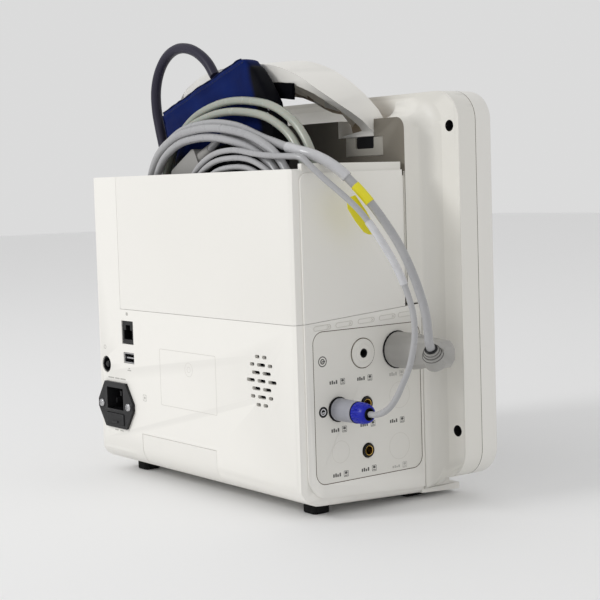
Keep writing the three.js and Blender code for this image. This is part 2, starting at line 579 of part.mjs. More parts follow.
// ---------- connector panel and sockets on the -X side ----------
const PORT_X = -SIDE_X;
let portPanel = prism(rrect(PANEL.y0, PANEL.y1, PANEL.z0, PANEL.z1, PANEL.r), "x", PORT_X, PORT_X + 3, { seg: 4 });
const portAt = (y, z) => [PORT_X, y, z];
const PORTS = {
  air: [-55, 94.6],
  ecg: [-85.8, 94.3],
  spo2: [-32.4, 58.9],
  temp1: [-57.4, 59.7],
  temp2: [-57.8, 27.6],
};
const through = (r, [y, z]) => rod(r, -10, 10, 24, "x", portAt(y, z));
portPanel = cut(portPanel, through(8, PORTS.air), through(11.3, PORTS.ecg), through(8.2, PORTS.spo2), through(5.2, PORTS.temp1), through(5.2, PORTS.temp2));
add("port_panel", portPanel, "panel");
add(
  "air_port",
  lathe(
    [[3.2, -8], [7.7, -8], [7.7, 0.3], [9.8, 0.3], [9.8, 0.8], [6.4, 0.9], [5.8, 1.4], [3.2, 1.4], [3.2, -8]],
    24,
    "-x",
    portAt(...PORTS.air),
  ),
  "panel",
);
add("ecg_socket", lathe([[8.6, -10], [11, -10], [11, 0.3], [13.2, 0.3], [13.2, 0.9], [8.6, 0.9], [8.6, -10]], 24, "-x", portAt(...PORTS.ecg)), "black");
add("spo2_socket", lathe([[5.6, -10], [7.9, -10], [7.9, 0.3], [8.6, 0.3], [8.6, 0.9], [5.6, 0.9], [5.6, -10]], 20, "-x", portAt(...PORTS.spo2)), "black");
for (const [name, at] of [["temp_jack_1", PORTS.temp1], ["temp_jack_2", PORTS.temp2]])
  add(name, lathe([[3.3, -14], [4.9, -14], [4.9, 0.3], [5.9, 0.3], [5.9, 1.1], [4.2, 1.1], [3.3, 0.2], [3.3, -14]], 20, "-x", portAt(...at)), "brass");

// ---------- rear face fittings ----------
// fused mains inlet: flange with two ears, connector well above, fuse drawer below
const [ix, iz] = INLET;
const flange = poly([
  [ix - 26, iz - 3], [ix - 15.5, iz - 18], [ix + 15.5, iz - 18], [ix + 26, iz - 3], [ix + 26, iz + 3], [ix + 15.5, iz + 18], [ix - 15.5, iz + 18], [ix - 26, iz + 3],
]);
let inlet = join(prism(flange, "y", 2.4, 0.3), box(ix - 15, ix + 15, 1, -34, iz - 16.7, iz + 16.7));
inlet = cut(
  inlet,
  box(ix - 12.2, ix + 12.2, 5, -16, iz - 3.4, iz + 13.6), // connector well
  box(ix - 13.2, ix + 13.2, 5, -24, iz - 15.4, iz - 6.2), // drawer bay
);
inlet = join(inlet, ...[[-7, 1.5], [0, 7.5], [7, 1.5]].map(([dx, dz]) => box(ix + dx - 1, ix + dx + 1, -17, -3, iz + 1 + dz - 2, iz + 1 + dz + 2)));
for (const s of [-1, 1]) inlet = cut(inlet, rod(1.9, -5, 5, 16, "y", [ix + s * 20, 0, iz]));
add("mains_inlet", inlet, "black");
add(
  "fuse_drawer",
  join(box(ix - 12.9, ix + 12.9, 3, -20, iz - 15.1, iz - 6.5), box(ix - 4, ix + 4, 3.8, 2.5, iz - 14, iz - 12.4)),
  "black",
);
[1, -1].forEach((s, i) =>
  add(
    "inlet_screw_" + (i + 1),
    cut(
      join(lathe([[0, 2.6], [3.2, 2.6], [2.8, 3.6], [1.6, 4.2], [0, 4.3]], 16, "y", [ix + s * 20, 0, iz]), rod(1.6, 0.3, 3, 12, "y", [ix + s * 20, 0, iz])),
      box(ix + s * 20 - 1.9, ix + s * 20 + 1.9, 3.4, 6, iz - 0.35, iz + 0.35),
      box(ix + s * 20 - 0.35, ix + s * 20 + 0.35, 3.4, 6, iz - 1.9, iz + 1.9),
    ),
    "steel",
  ),
);
add(
  "equipotential_stud",
  lathe([[0, -9], [6.3, -9], [6.3, -0.6], [5.2, -0.6], [5.2, -6], [2.6, -6], [2.6, -1.2], [1.6, -0.4], [0, -0.4]], 20, "y", [118.5, 0, 72.2]),
  "steel",
);
let net = box(84.5 - 8.3, 84.5 + 8.3, -0.6, -20, 90.5, 108.1);
net = cut(net, box(84.5 - 6, 84.5 + 6, 2, -15, 94, 101), box(84.5 - 3.2, 84.5 + 3.2, 2, -15, 100, 105));
add("network_socket", net, "black");
let usb = cut(box(83.7 - 7.6, 83.7 + 7.6, -0.5, -16, 75.5, 83.5), box(83.7 - 6.8, 83.7 + 6.8, 2, -14, 76.4, 82.6));
usb = join(usb, box(83.7 - 6, 83.7 + 6, -1.6, -15, 78.9, 80.1));
add("usb_socket", usb, "steel");

// ---------- cords and what is on them ----------
// ECG plug: barrel out of the socket, flat-sided head, round strain relief facing back and up
const ecgC = PORTS.ecg;
// Octagonal section of the head, across X.
const octagon = (x, hy, hz, c) =>
  [[-hy, -hz + c], [-hy + c, -hz], [hy - c, -hz], [hy, -hz + c], [hy, hz - c], [hy - c, hz], [-hy + c, hz], [-hy, hz - c]].map(([u, v]) => [x, ecgC[0] + u, ecgC[1] + v]);
const ecgHead = wasm.Manifold.hull([...octagon(-153, 9, 10.6, 3), ...octagon(-163, 7.4, 9.4, 2.8), ...octagon(-181.6, 7, 9, 2.6), ...octagon(-185.6, 5, 5.6, 2)]);
const ecgBarrel = lathe([[0, 1.2], [12.4, 1.2], [12.4, 20], [11.4, 26], [9, 28.5], [0, 28.5]], 28, "-x", portAt(...ecgC));
const bossDir = new THREE.Vector3(-0.35, 0.6, 0.72).normalize();
const bossAt = new THREE.Vector3(-178.5, ecgC[0] + 7.2, ecgC[1] - 2);
const bossG = new THREE.LatheGeometry([[0, -5.4], [7.3, -5.4], [7.3, 3.6], [6.4, 4.6], [6.4, 5.6], [5.5, 6.4], [5.5, 7.6], [4.7, 8.4], [4.7, 9.4], [0, 9.4]].map(([r, h]) => V2(r, h)), 20);
bossG.applyQuaternion(new THREE.Quaternion().setFromUnitVectors(new THREE.Vector3(0, 1, 0), bossDir));
bossG.translate(...bossAt.toArray());
add("ecg_plug", join(rod(8.2, -9, 2, 20, "-x", portAt(...ecgC)), ecgBarrel, ecgHead, solid(bossG)), "plug");

const ECG_ROUTE = [
  [-182.1, -72.4, 99.8], [-183.9, -69.4, 104], [-184.6, -68, 111.5], [-184.2, -66.8, 122], [-181.6, -64.6, 136], [-178, -61, 151], [-173, -56, 167.2], [-166, -49.6, 183.2],
  [-157.2, -42, 199.3], [-149.6, -36.4, 210], [-142.5, -31.2, 218.7], [-135, -26, 225], [-127, -21.6, 229.3], [-116, -19, 233.2], [-108, -18.8, 236.2], [-100, -18.8, 239.4],
];
add("ecg_cable", tube(ECG_ROUTE, 3, 8, 44), "cable");
const E_RING = { c: [-24, 193], a: 97, b: 65, t: 15.4, y: [-9.6, -22.7], lean: 0.08 };
const S_RING = { c: [-55, 181], a: 66, b: 56.4, t: 14, y: [-4.5, -9.2], lean: 0 };
const G_RING = { c: [-27, 200.4], a: 97, b: 73.6, t: 14, y: [-23, -33.5], lean: 0 };
const ringOf = (r) => ring(r.c[0], r.c[1], r.a, r.b, r.t, r.y[0], r.y[1], r.lean);
const ecgTubeClear = tube(ECG_ROUTE, 3.6, 8, 44);
add("ecg_coil", cut(ringOf(E_RING), ecgTubeClear), "cable");
add("lead_coil", ringOf(G_RING), "leadCable");

const blockG = (grow) => {
  const g = prismGeo(rrect(-18 - grow, 18 + grow, -8 - grow, 8 + grow, 3), "y", 6 + grow, -6 - grow, { seg: 2 });
  g.rotateY((28 * Math.PI) / 180);
  g.translate(24, -24.8, 223.6);
  return solid(g);
};
const reliefG = new THREE.CylinderGeometry(3.4, 5, 14, 14);
reliefG.rotateZ(Math.PI / 2);
reliefG.translate(-23.4, 0, 0);
reliefG.rotateY((28 * Math.PI) / 180);
reliefG.translate(24, -24.8, 223.6);
add("junction_block", join(blockG(0), solid(reliefG)), "plug");
add("lead_cable", tube([[40.4, -25.4, 214.7], [44, -25.7, 212], [48.2, -26, 207.6], [51.2, -26, 202], [52.6, -26, 196]], 2.4, 8, 8), "leadCable");
add("lead_plug", prism(rrect(-60, -32, 151.6, 162.6, 3), "y", -23.2, -33.3, { seg: 2 }), "plug");

// SpO2 plug: barrel and ribbed collar
const sC = PORTS.spo2;
add(
  "spo2_plug",
  lathe(
    [[0, -9], [5.2, -9], [5.2, 1.2], [7.7, 1.2], [7.7, 9], [7.4, 20.4], [7.2, 21], [7.2, 27.4], [6.4, 31.2], [5.2, 32.4], [0, 32.4]],
    20,
    "-x",
    portAt(...sC),
  ),
  "collar",
);
const SPO2_ROUTE = [
  [-165.8, -32.4, 59], [-171, -32.4, 59.3], [-177.5, -32.6, 61], [-184.4, -33.2, 65.2], [-190.8, -34.4, 73], [-194.8, -36.2, 81.8], [-197.4, -38.6, 90], [-198.8, -41, 100], [-199, -43.2, 111],
  [-197.6, -43.8, 125], [-194.4, -42.4, 138], [-188, -38.6, 156], [-178.5, -33.2, 174.5], [-167.5, -27, 191.6], [-156, -21, 203.6], [-146.5, -16.2, 212.4], [-138, -12.6, 220.4], [-130, -9.8, 227.2], [-119, -8, 229.6],
  [-106, -7.3, 231.2],
];
add("spo2_cable", tube(SPO2_ROUTE, 2.1, 8, 60), "cable");
add("spo2_coil", cut(ringOf(S_RING), tube(SPO2_ROUTE, 2.6, 8, 60)), "cable");
add("spo2_sensor_plug", prism(rrect(-49, -18.4, 147, 158, 3), "y", -5.4, -17, { seg: 2 }), "plug");

// cuff: flattened roll standing in the bin
const CUFF = [
  [82, 269], [-27, 302.6], [-34, 301.6], [-44, 293], [-53, 282], [-62, 268], [-67, 252], [-68, 232], [-62, 178], [38, 150], [52, 190], [66, 226], [76, 250],
];
add("cuff", prism(poly([...CUFF].reverse()), "y", -34.2, -50, { bevel: 2.5, bevelSegments: 1 }), "cuff");
const HOSE = [
  [14, -42, 292.2], [22, -42, 301.6], [34, -42, 310], [49, -42, 315.6], [65, -42, 316.6], [80, -42, 311.6], [91, -42, 301.4], [97, -42, 287.6], [97, -42, 272], [93, -42, 256], [88, -42, 240],
  [84.6, -42, 224], [82, -43, 208], [78, -46, 191], [71, -52, 174], [60, -60, 158.6], [45, -68, 145.6], [26, -74.6, 135.6], [6, -77.6, 131], [-16, -78.2, 129.6], [-40, -78.2, 129.4], [-64, -78.2, 129.4], [-84, -78.2, 129.4],
];
add("air_hose", tube(HOSE, 4, 10, 60), "hose");
add("hose_connector", lathe([[0, 0], [5, 0], [5.2, 10], [4, 12], [4, 20], [3, 26], [0, 26]], 16, "-x", [-84.4, -78.2, 129.4]), "plug");

export default monitor;
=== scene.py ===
import json
import math

import bmesh
import bpy
from mathutils import Matrix, Vector, noise
from mathutils.bvhtree import BVHTree


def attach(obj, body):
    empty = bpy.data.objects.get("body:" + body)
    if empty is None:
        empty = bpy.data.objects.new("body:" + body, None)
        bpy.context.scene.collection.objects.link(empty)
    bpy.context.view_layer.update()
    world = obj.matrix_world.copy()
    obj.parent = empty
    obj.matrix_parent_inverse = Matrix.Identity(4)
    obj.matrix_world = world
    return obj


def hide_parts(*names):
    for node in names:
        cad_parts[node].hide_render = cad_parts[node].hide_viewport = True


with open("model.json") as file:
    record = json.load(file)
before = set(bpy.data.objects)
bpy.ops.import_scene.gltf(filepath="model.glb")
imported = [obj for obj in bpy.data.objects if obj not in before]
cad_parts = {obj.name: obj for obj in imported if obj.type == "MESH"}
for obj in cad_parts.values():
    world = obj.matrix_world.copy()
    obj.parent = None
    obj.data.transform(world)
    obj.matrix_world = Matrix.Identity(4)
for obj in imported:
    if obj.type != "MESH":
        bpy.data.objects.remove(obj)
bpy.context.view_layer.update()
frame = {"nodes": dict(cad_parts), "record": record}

scene = bpy.context.scene
nodes = frame["nodes"]

# The model is laid out in millimetres from the rear face (y = 0) and the rear face's lower edge (z = 0), as in the CAD source.
YS, ZO = 79.85, 14.5


def W(x, y, z):
    return Vector((x / 1000, (y + YS) / 1000, (z + ZO) / 1000))


# ------------------------------------------------------------------ camera
yaw, pitch, roll = math.radians(52.56), math.radians(3.85), math.radians(-1.73)
F = Vector((math.sin(yaw) * math.cos(pitch), -math.cos(yaw) * math.cos(pitch), -math.sin(pitch)))
R0 = F.cross(Vector((0, 0, 1))).normalized()
U0 = R0.cross(F)
R = R0 * math.cos(roll) + U0 * math.sin(roll)
U = U0 * math.cos(roll) - R0 * math.sin(roll)
cam_data = bpy.data.cameras.new("camera")
cam = bpy.data.objects.new("camera", cam_data)
scene.collection.objects.link(cam)
m = Matrix((R, U, -F)).transposed().to_4x4()
m.translation = W(-872.29, 562.64, 209.97)
cam.matrix_world = m
cam_data.sensor_width = 36
cam_data.lens = 1428 / 600 * 36
cam_data.shift_y = -(300 - 280.4) / 600
cam_data.clip_start = 0.05
cam_data.clip_end = 20
scene.camera = cam


# ------------------------------------------------------------------ materials
def principled(mat):
    return mat.node_tree.nodes["Principled BSDF"]


def set_in(node, name, value):
    if name in node.inputs:
        node.inputs[name].default_value = value


def material(name, color, color2=None, rough=(0.4, 0.5), grain=1500.0, bump=0.1, bump_d=0.00008, spots=9.0, wear=0.0, metallic=0.0, coat=0.0, ior=1.46, sheen=0.0, sss=0.0, trans=0.0, vein=None, streak=None, dark=0.0):
    """A moulded, cast or drawn surface: colour mottling, roughness breakup, fine surface grain, worn edges and painted
    shade in hollows.
    """
    mat = bpy.data.materials.new(name)
    mat.use_nodes = True
    nt = mat.node_tree
    n, l = nt.nodes, nt.links
    p = principled(mat)
    tc = n.new("ShaderNodeTexCoord")
    big = n.new("ShaderNodeTexNoise")
    big.inputs["Scale"].default_value = spots
    big.inputs["Detail"].default_value = 4
    l.new(tc.outputs["Object"], big.inputs["Vector"])
    ramp = n.new("ShaderNodeValToRGB")
    ramp.color_ramp.elements[0].position = 0.3
    ramp.color_ramp.elements[1].position = 0.72
    c2 = color2 or [c * 0.94 for c in color]
    ramp.color_ramp.elements[0].color = (*c2, 1)
    ramp.color_ramp.elements[1].color = (*color, 1)
    l.new(big.outputs["Fac"], ramp.inputs["Fac"])
    out = ramp.outputs["Color"]
    if wear or dark:
        geo = n.new("ShaderNodeNewGeometry")
        if wear:
            edge = n.new("ShaderNodeValToRGB")
            edge.color_ramp.elements[0].position = 0.52
            edge.color_ramp.elements[0].color = (0, 0, 0, 1)
            edge.color_ramp.elements[1].position = 0.62
            edge.color_ramp.elements[1].color = (wear, wear, wear, 1)
            l.new(geo.outputs["Pointiness"], edge.inputs["Fac"])
            mix = n.new("ShaderNodeMix")
            mix.data_type = "RGBA"
            mix.inputs["B"].default_value = (*[min(1, c * 1.12 + 0.02) for c in color], 1)
            l.new(edge.outputs["Color"], mix.inputs["Factor"])
            l.new(out, mix.inputs["A"])
            out = mix.outputs["Result"]
        # painted shade: hollows (low pointiness) are darkened towards 0.55 of the colour
        if dark:
            low = n.new("ShaderNodeValToRGB")
            low.color_ramp.elements[0].position = 0.40
            low.color_ramp.elements[0].color = (dark, dark, dark, 1)
            low.color_ramp.elements[1].position = 0.485
            low.color_ramp.elements[1].color = (0, 0, 0, 1)
            l.new(geo.outputs["Pointiness"], low.inputs["Fac"])
            mix = n.new("ShaderNodeMix")
            mix.data_type = "RGBA"
            mix.inputs["B"].default_value = (*[c * 0.55 for c in color], 1)
            l.new(low.outputs["Color"], mix.inputs["Factor"])
            l.new(out, mix.inputs["A"])
            out = mix.outputs["Result"]
    l.new(out, p.inputs["Base Color"])
    rn = n.new("ShaderNodeTexNoise")
    rn.inputs["Scale"].default_value = 130
    rn.inputs["Detail"].default_value = 5
    l.new(tc.outputs["Object"], rn.inputs["Vector"])
    mr = n.new("ShaderNodeMapRange")
    mr.inputs["From Min"].default_value = 0.3
    mr.inputs["From Max"].default_value = 0.7
    mr.inputs["To Min"].default_value = rough[0]
    mr.inputs["To Max"].default_value = rough[1]
    l.new(rn.outputs["Fac"], mr.inputs["Value"])
    l.new(mr.outputs["Result"], p.inputs["Roughness"])
    vec = tc.outputs["Object"]
    if streak:
        mp = n.new("ShaderNodeMapping")
        mp.inputs["Scale"].default_value = streak
        l.new(vec, mp.inputs["Vector"])
        vec = mp.outputs["Vector"]
    fine = n.new("ShaderNodeTexNoise")
    fine.inputs["Scale"].default_value = grain
    fine.inputs["Detail"].default_value = 2
    l.new(vec, fine.inputs["Vector"])
    b = n.new("ShaderNodeBump")
    b.inputs["Strength"].default_value = bump
    b.inputs["Distance"].default_value = bump_d
    l.new(fine.outputs["Fac"], b.inputs["Height"])
    l.new(b.outputs["Normal"], p.inputs["Normal"])
    set_in(p, "Metallic", metallic)
    set_in(p, "IOR", ior)
    set_in(p, "Coat Weight", coat)
    set_in(p, "Coat Roughness", 0.15)
    set_in(p, "Sheen Weight", sheen)
    if sss:
        set_in(p, "Subsurface Weight", sss)
        set_in(p, "Subsurface Scale", 0.002)
    if trans:
        set_in(p, "Transmission Weight", trans)
    return mat


M = {}
# dark: painted shade in hollows, set in material()
M["shell"] = material("shell_plastic", (0.80, 0.785, 0.745), (0.775, 0.76, 0.72), rough=(0.36, 0.46), grain=1700, bump=0.16, bump_d=0.00006, spots=7, wear=0.5, dark=0.5)
M["display"] = material("display_plastic", (0.74, 0.725, 0.68), (0.715, 0.70, 0.655), rough=(0.38, 0.48), grain=1700, bump=0.16, bump_d=0.00006, spots=7, wear=0.5, dark=0.5)
M["bezel"] = material("bezel_plastic", (0.82, 0.805, 0.77), (0.80, 0.785, 0.745), rough=(0.33, 0.42), grain=1900, bump=0.1, spots=8, wear=0.4)
M["panel"] = material("panel_plastic", (0.76, 0.745, 0.70), (0.735, 0.72, 0.675), rough=(0.4, 0.5), grain=2100, bump=0.12, spots=9, wear=0.4, dark=0.4)
M["panel_edge"] = material("panel_relief", (0.66, 0.645, 0.60), (0.62, 0.605, 0.56), rough=(0.4, 0.5), grain=2100, bump=0.12)
M["panel_faint"] = material("panel_faint_line", (0.68, 0.66, 0.61), (0.65, 0.63, 0.58), rough=(0.42, 0.52), grain=2100, bump=0.12)
M["shell_faint"] = material("shell_faint_line", (0.68, 0.66, 0.62), (0.64, 0.62, 0.58), rough=(0.4, 0.5), grain=1700, bump=0.12)
M["seam"] = material("seam_shadow", (0.13, 0.10, 0.07), (0.10, 0.08, 0.055), rough=(0.7, 0.85), grain=900, bump=0.2)
# painted shade: the shell plastic darkened for the bin's inside and for the pod's face under the grip
M["bin_interior_shade"] = material("bin_interior_painted_shade", (0.22, 0.20, 0.165), (0.16, 0.145, 0.12), rough=(0.5, 0.62), grain=1500, bump=0.15, spots=12, dark=0.5)
# painted shade: the retainer plates darkened to a mid tone, as they lie in the grip's shadow
M["retainer"] = material("retainer_painted_shade", (0.46, 0.44, 0.39), (0.40, 0.38, 0.335), rough=(0.42, 0.55), grain=1600, bump=0.14, spots=22)
# painted shade: the handle's channel in dark brown, its ribs a darker, warmer copy of the shell
M["channel"] = material("handle_channel_painted_shade", (0.50, 0.41, 0.31), (0.40, 0.32, 0.235), rough=(0.55, 0.7), grain=1300, bump=0.2, spots=18)
M["rib"] = material("handle_rib_shaded", (0.80, 0.76, 0.68), (0.74, 0.70, 0.62), rough=(0.45, 0.6), grain=1500, bump=0.15, spots=18)
# besides real black parts, this black is painted shade in holes: screw counterbores, plug and port bores, the stud's
# recess and behind the retainer notches
M["black"] = material("black_plastic_and_hole_shade", (0.005, 0.005, 0.006), (0.008, 0.008, 0.009), rough=(0.28, 0.4), grain=1500, bump=0.15, wear=0.5)
M["satin_black"] = material("satin_black", (0.022, 0.022, 0.025), (0.03, 0.03, 0.033), rough=(0.45, 0.6), grain=1200, bump=0.2, wear=0.5)
M["rubber"] = material("foot_rubber", (0.006, 0.006, 0.006), (0.011, 0.011, 0.011), rough=(0.7, 0.88), grain=800, bump=0.3, bump_d=0.0001)
M["steel"] = material("plated_steel", (0.56, 0.56, 0.57), (0.50, 0.50, 0.51), rough=(0.18, 0.3), grain=700, bump=0.05, metallic=1.0, streak=(1, 12, 1))
M["brass"] = material("polished_brass", (0.80, 0.55, 0.16), (0.70, 0.46, 0.12), rough=(0.16, 0.28), grain=600, bump=0.05, metallic=1.0)
M["key"] = material("key_plastic", (0.50, 0.52, 0.54), (0.47, 0.49, 0.51), rough=(0.4, 0.5), grain=1500, bump=0.12, wear=0.5)
M["board"] = material("coated_board", (0.015, 0.11, 0.05), (0.03, 0.16, 0.08), rough=(0.3, 0.45), grain=400, bump=0.3, spots=120)
M["battery"] = material("battery_wrap", (0.025, 0.027, 0.03), (0.04, 0.042, 0.046), rough=(0.35, 0.5), grain=600, bump=0.2)
M["cable"] = material("cable_jacket", (0.40, 0.40, 0.405), (0.36, 0.36, 0.37), rough=(0.24, 0.34), grain=260, bump=0.06, bump_d=0.0002, spots=26, coat=0.15, dark=0.0)
M["lead"] = material("lead_jacket", (0.37, 0.385, 0.335), (0.32, 0.34, 0.29), rough=(0.2, 0.3), grain=240, bump=0.06, bump_d=0.0002, spots=22, coat=0.25, sss=0.12)
M["plug"] = material("plug_plastic", (0.36, 0.352, 0.335), (0.32, 0.313, 0.298), rough=(0.36, 0.46), grain=1300, bump=0.14, wear=0.5, dark=0.5)
M["plug_grey"] = material("plug_barrel", (0.33, 0.335, 0.37), (0.29, 0.295, 0.33), rough=(0.32, 0.42), grain=1300, bump=0.12, wear=0.5)
M["plug_blue"] = material("plug_collar", (0.004, 0.012, 0.40), (0.003, 0.009, 0.30), rough=(0.3, 0.4), grain=1300, bump=0.12, wear=0.5)
M["hose"] = material("hose_jacket", (0.030, 0.027, 0.046), (0.022, 0.02, 0.036), rough=(0.34, 0.46), grain=420, bump=0.1, bump_d=0.0002, spots=16)
M["yellow"] = material("yellow_band", (0.80, 0.72, 0.02), (0.74, 0.66, 0.02), rough=(0.35, 0.45), grain=900, bump=0.1)
# this grey print colour also serves as painted shade in the ECG plug's grooves
M["print_and_groove_shade"] = material("grey_print_and_groove_shade", (0.13, 0.125, 0.12), (0.10, 0.10, 0.095), rough=(0.55, 0.7), grain=900, bump=0.1)
M["ink_soft"] = material("pale_print", (0.50, 0.49, 0.46), (0.46, 0.45, 0.42), rough=(0.5, 0.65), grain=900, bump=0.1)
M["white_print"] = material("white_print", (0.7, 0.7, 0.72), (0.62, 0.62, 0.64), rough=(0.5, 0.65), grain=900, bump=0.1)
M["label"] = material("label_film", (0.17, 0.175, 0.20), (0.14, 0.145, 0.165), rough=(0.3, 0.4), grain=700, bump=0.08, wear=0.3)
M["lens"] = material("alarm_lens_plastic", (0.62, 0.65, 0.62), (0.58, 0.61, 0.58), rough=(0.2, 0.3), grain=500, bump=0.05, coat=0.3, sss=0.1)
M["screen"] = material("screen_glass", (0.008, 0.009, 0.012), (0.010, 0.011, 0.015), rough=(0.05, 0.09), grain=300, bump=0.01, coat=0.6)


def sleeve_material():
    """Clear heat-shrunk sleeve: a thin glossy film over the jacket."""
    mat = bpy.data.materials.new("clear_sleeve")
    mat.use_nodes = True
    nt = mat.node_tree
    n, l = nt.nodes, nt.links
    p = principled(mat)
    tc = n.new("ShaderNodeTexCoord")
    nz = n.new("ShaderNodeTexNoise")
    nz.inputs["Scale"].default_value = 160
    l.new(tc.outputs["Object"], nz.inputs["Vector"])
    r = n.new("ShaderNodeValToRGB")
    r.color_ramp.elements[0].color = (0.72, 0.72, 0.74, 1)
    r.color_ramp.elements[1].color = (0.86, 0.86, 0.88, 1)
    l.new(nz.outputs["Fac"], r.inputs["Fac"])
    l.new(r.outputs["Color"], p.inputs["Base Color"])
    b = n.new("ShaderNodeBump")
    b.inputs["Strength"].default_value = 0.15
    b.inputs["Distance"].default_value = 0.0003
    l.new(nz.outputs["Fac"], b.inputs["Height"])
    l.new(b.outputs["Normal"], p.inputs["Normal"])
    p.inputs["Roughness"].default_value = 0.18
    p.inputs["Alpha"].default_value = 0.5
    set_in(p, "Coat Weight", 0.4)
    return mat


M["sleeve"] = sleeve_material()


def fabric(name, color, color2, thread=0.00055, axis_u=(1, 0, 0), axis_v=(0, 0, 1), end_and_shade_planes=None):
    """Coated woven nylon: warp and weft ribs, colour variation between threads, a soft sheen, and a near-black colour
    on the low side of given planes, which on the cuff is its dark end and painted shade.
    """
    mat = bpy.data.materials.new(name)
    mat.use_nodes = True
    nt = mat.node_tree
    n, l = nt.nodes, nt.links
    p = principled(mat)
    tc = n.new("ShaderNodeTexCoord")

    def ribs(axis):
        d = n.new("ShaderNodeVectorMath")
        d.operation = "DOT_PRODUCT"
        l.new(tc.outputs["Object"], d.inputs[0])
        d.inputs[1].default_value = axis
        k = n.new("ShaderNodeMath")
        k.operation = "MULTIPLY"
        k.inputs[1].default_value = 2 * math.pi / thread
        l.new(d.outputs["Value"], k.inputs[0])
        s = n.new("ShaderNodeMath")
        s.operation = "SINE"
        l.new(k.outputs[0], s.inputs[0])
        return s.outputs[0]

    u, v = ribs(axis_u), ribs(axis_v)
    mx = n.new("ShaderNodeMath")
    mx.operation = "MAXIMUM"
    l.new(u, mx.inputs[0])
    l.new(v, mx.inputs[1])
    big = n.new("ShaderNodeTexNoise")
    big.inputs["Scale"].default_value = 42
    big.inputs["Detail"].default_value = 6
    l.new(tc.outputs["Object"], big.inputs["Vector"])
    ramp = n.new("ShaderNodeValToRGB")
    ramp.color_ramp.elements[0].position = 0.3
    ramp.color_ramp.elements[1].position = 0.7
    ramp.color_ramp.elements[0].color = (*color2, 1)
    ramp.color_ramp.elements[1].color = (*color, 1)
    l.new(big.outputs["Fac"], ramp.inputs["Fac"])
    mr = n.new("ShaderNodeMapRange")
    mr.inputs["From Min"].default_value = -1
    mr.inputs["To Min"].default_value = 0.72
    mr.inputs["To Max"].default_value = 1.1
    l.new(mx.outputs[0], mr.inputs["Value"])
    mul = n.new("ShaderNodeVectorMath")
    mul.operation = "SCALE"
    base = ramp.outputs["Color"]
    # each plane mixes a near-black colour in on its low side: on the cuff, its dark end past the fold with painted
    # shade over it, and painted shade on the roll's lower part
    for plane, low, high, other in end_and_shade_planes or ():
        d = n.new("ShaderNodeVectorMath")
        d.operation = "DOT_PRODUCT"
        l.new(tc.outputs["Object"], d.inputs[0])
        d.inputs[1].default_value = plane
        side = n.new("ShaderNodeMapRange")
        side.inputs["From Min"].default_value = low
        side.inputs["From Max"].default_value = high
        l.new(d.outputs["Value"], side.inputs["Value"])
        mix = n.new("ShaderNodeMix")
        mix.data_type = "RGBA"
        mix.inputs[6].default_value = (*other, 1)
        l.new(side.outputs["Result"], mix.inputs[0])
        l.new(base, mix.inputs[7])
        base = mix.outputs[2]
    l.new(base, mul.inputs[0])
    l.new(mr.outputs["Result"], mul.inputs["Scale"])
    l.new(mul.outputs["Vector"], p.inputs["Base Color"])
    rr = n.new("ShaderNodeMapRange")
    rr.inputs["To Min"].default_value = 0.5
    rr.inputs["To Max"].default_value = 0.72
    l.new(big.outputs["Fac"], rr.inputs["Value"])
    l.new(rr.outputs["Result"], p.inputs["Roughness"])
    b = n.new("ShaderNodeBump")
    b.inputs["Strength"].default_value = 0.35
    b.inputs["Distance"].default_value = 0.00012
    l.new(mx.outputs[0], b.inputs["Height"])
    l.new(b.outputs["Normal"], p.inputs["Normal"])
    set_in(p, "Sheen Weight", 0.02)
    set_in(p, "Sheen Roughness", 0.4)
    return mat


# cuff: the first plane darkens the end past the fold, its own dark end with painted shade; the second paints shade on
# the roll's lower part, low in the bin
M["cuff"] = fabric("cuff_nylon", (0.001, 0.013, 0.11), (0.0006, 0.007, 0.07), axis_u=(0.956, 0, 0.292), axis_v=(-0.292, 0, 0.956), end_and_shade_planes=(((1, 0, -0.32), -0.1384, -0.1330, (0.0008, 0.001, 0.003)), ((0.15, 0, 1), 0.2535, 0.2595, (0.0008, 0.001, 0.002))))
M["cuff_dark"] = fabric("cuff_loop_pile", (0.002, 0.002, 0.0035), (0.001, 0.001, 0.002), thread=0.0009, axis_u=(0.956, 0, 0.292), axis_v=(-0.292, 0, 0.956))
M["cuff_edge"] = fabric("cuff_binding", (0.0012, 0.006, 0.05), (0.0008, 0.004, 0.03), thread=0.0004)
M["thread"] = material("stitch_thread", (0.012, 0.02, 0.07), (0.008, 0.012, 0.04), rough=(0.6, 0.7), grain=2500, bump=0.3)


for key, level in (("black", 0.28), ("satin_black", 0.3), ("hose", 0.22), ("cuff", 0.06), ("cuff_dark", 0.03), ("cuff_edge", 0.05), ("bin_interior_shade", 0.3), ("channel", 0.3), ("seam", 0.1), ("print_and_groove_shade", 0.2), ("rubber", 0.2), ("plug_blue", 0.35)):
    set_in(principled(M[key]), "Specular IOR Level", level)

# ------------------------------------------------------------------ mesh helpers
def link(obj):
    scene.collection.objects.link(obj)
    return obj


def finish_mesh(obj, smooth_angle=38, weighted=True):
    me = obj.data
    for poly in me.polygons:
        # large flat faces square to an axis keep one plain normal
        poly.use_smooth = not (poly.area > 1.5e-5 and max(abs(c) for c in poly.normal) > 0.9996)
    me.set_sharp_from_angle(angle=math.radians(smooth_angle))
    if weighted:
        mod = obj.modifiers.new("wn", "WEIGHTED_NORMAL")
        mod.keep_sharp = True
    return obj


def from_bm(name, bm, mat, body="monitor", smooth_angle=38, weighted=True, replaces=()):
    me = bpy.data.meshes.new(name)
    bm.normal_update()
    bm.to_mesh(me)
    bm.free()
    obj = link(bpy.data.objects.new(name, me))
    me.materials.append(mat)
    finish_mesh(obj, smooth_angle, weighted)
    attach(obj, body)
    if replaces:
        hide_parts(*replaces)
    return obj


BODY_OF = {n: b for b, members in frame["record"]["behaviour"]["bodies"].items() for n in members}


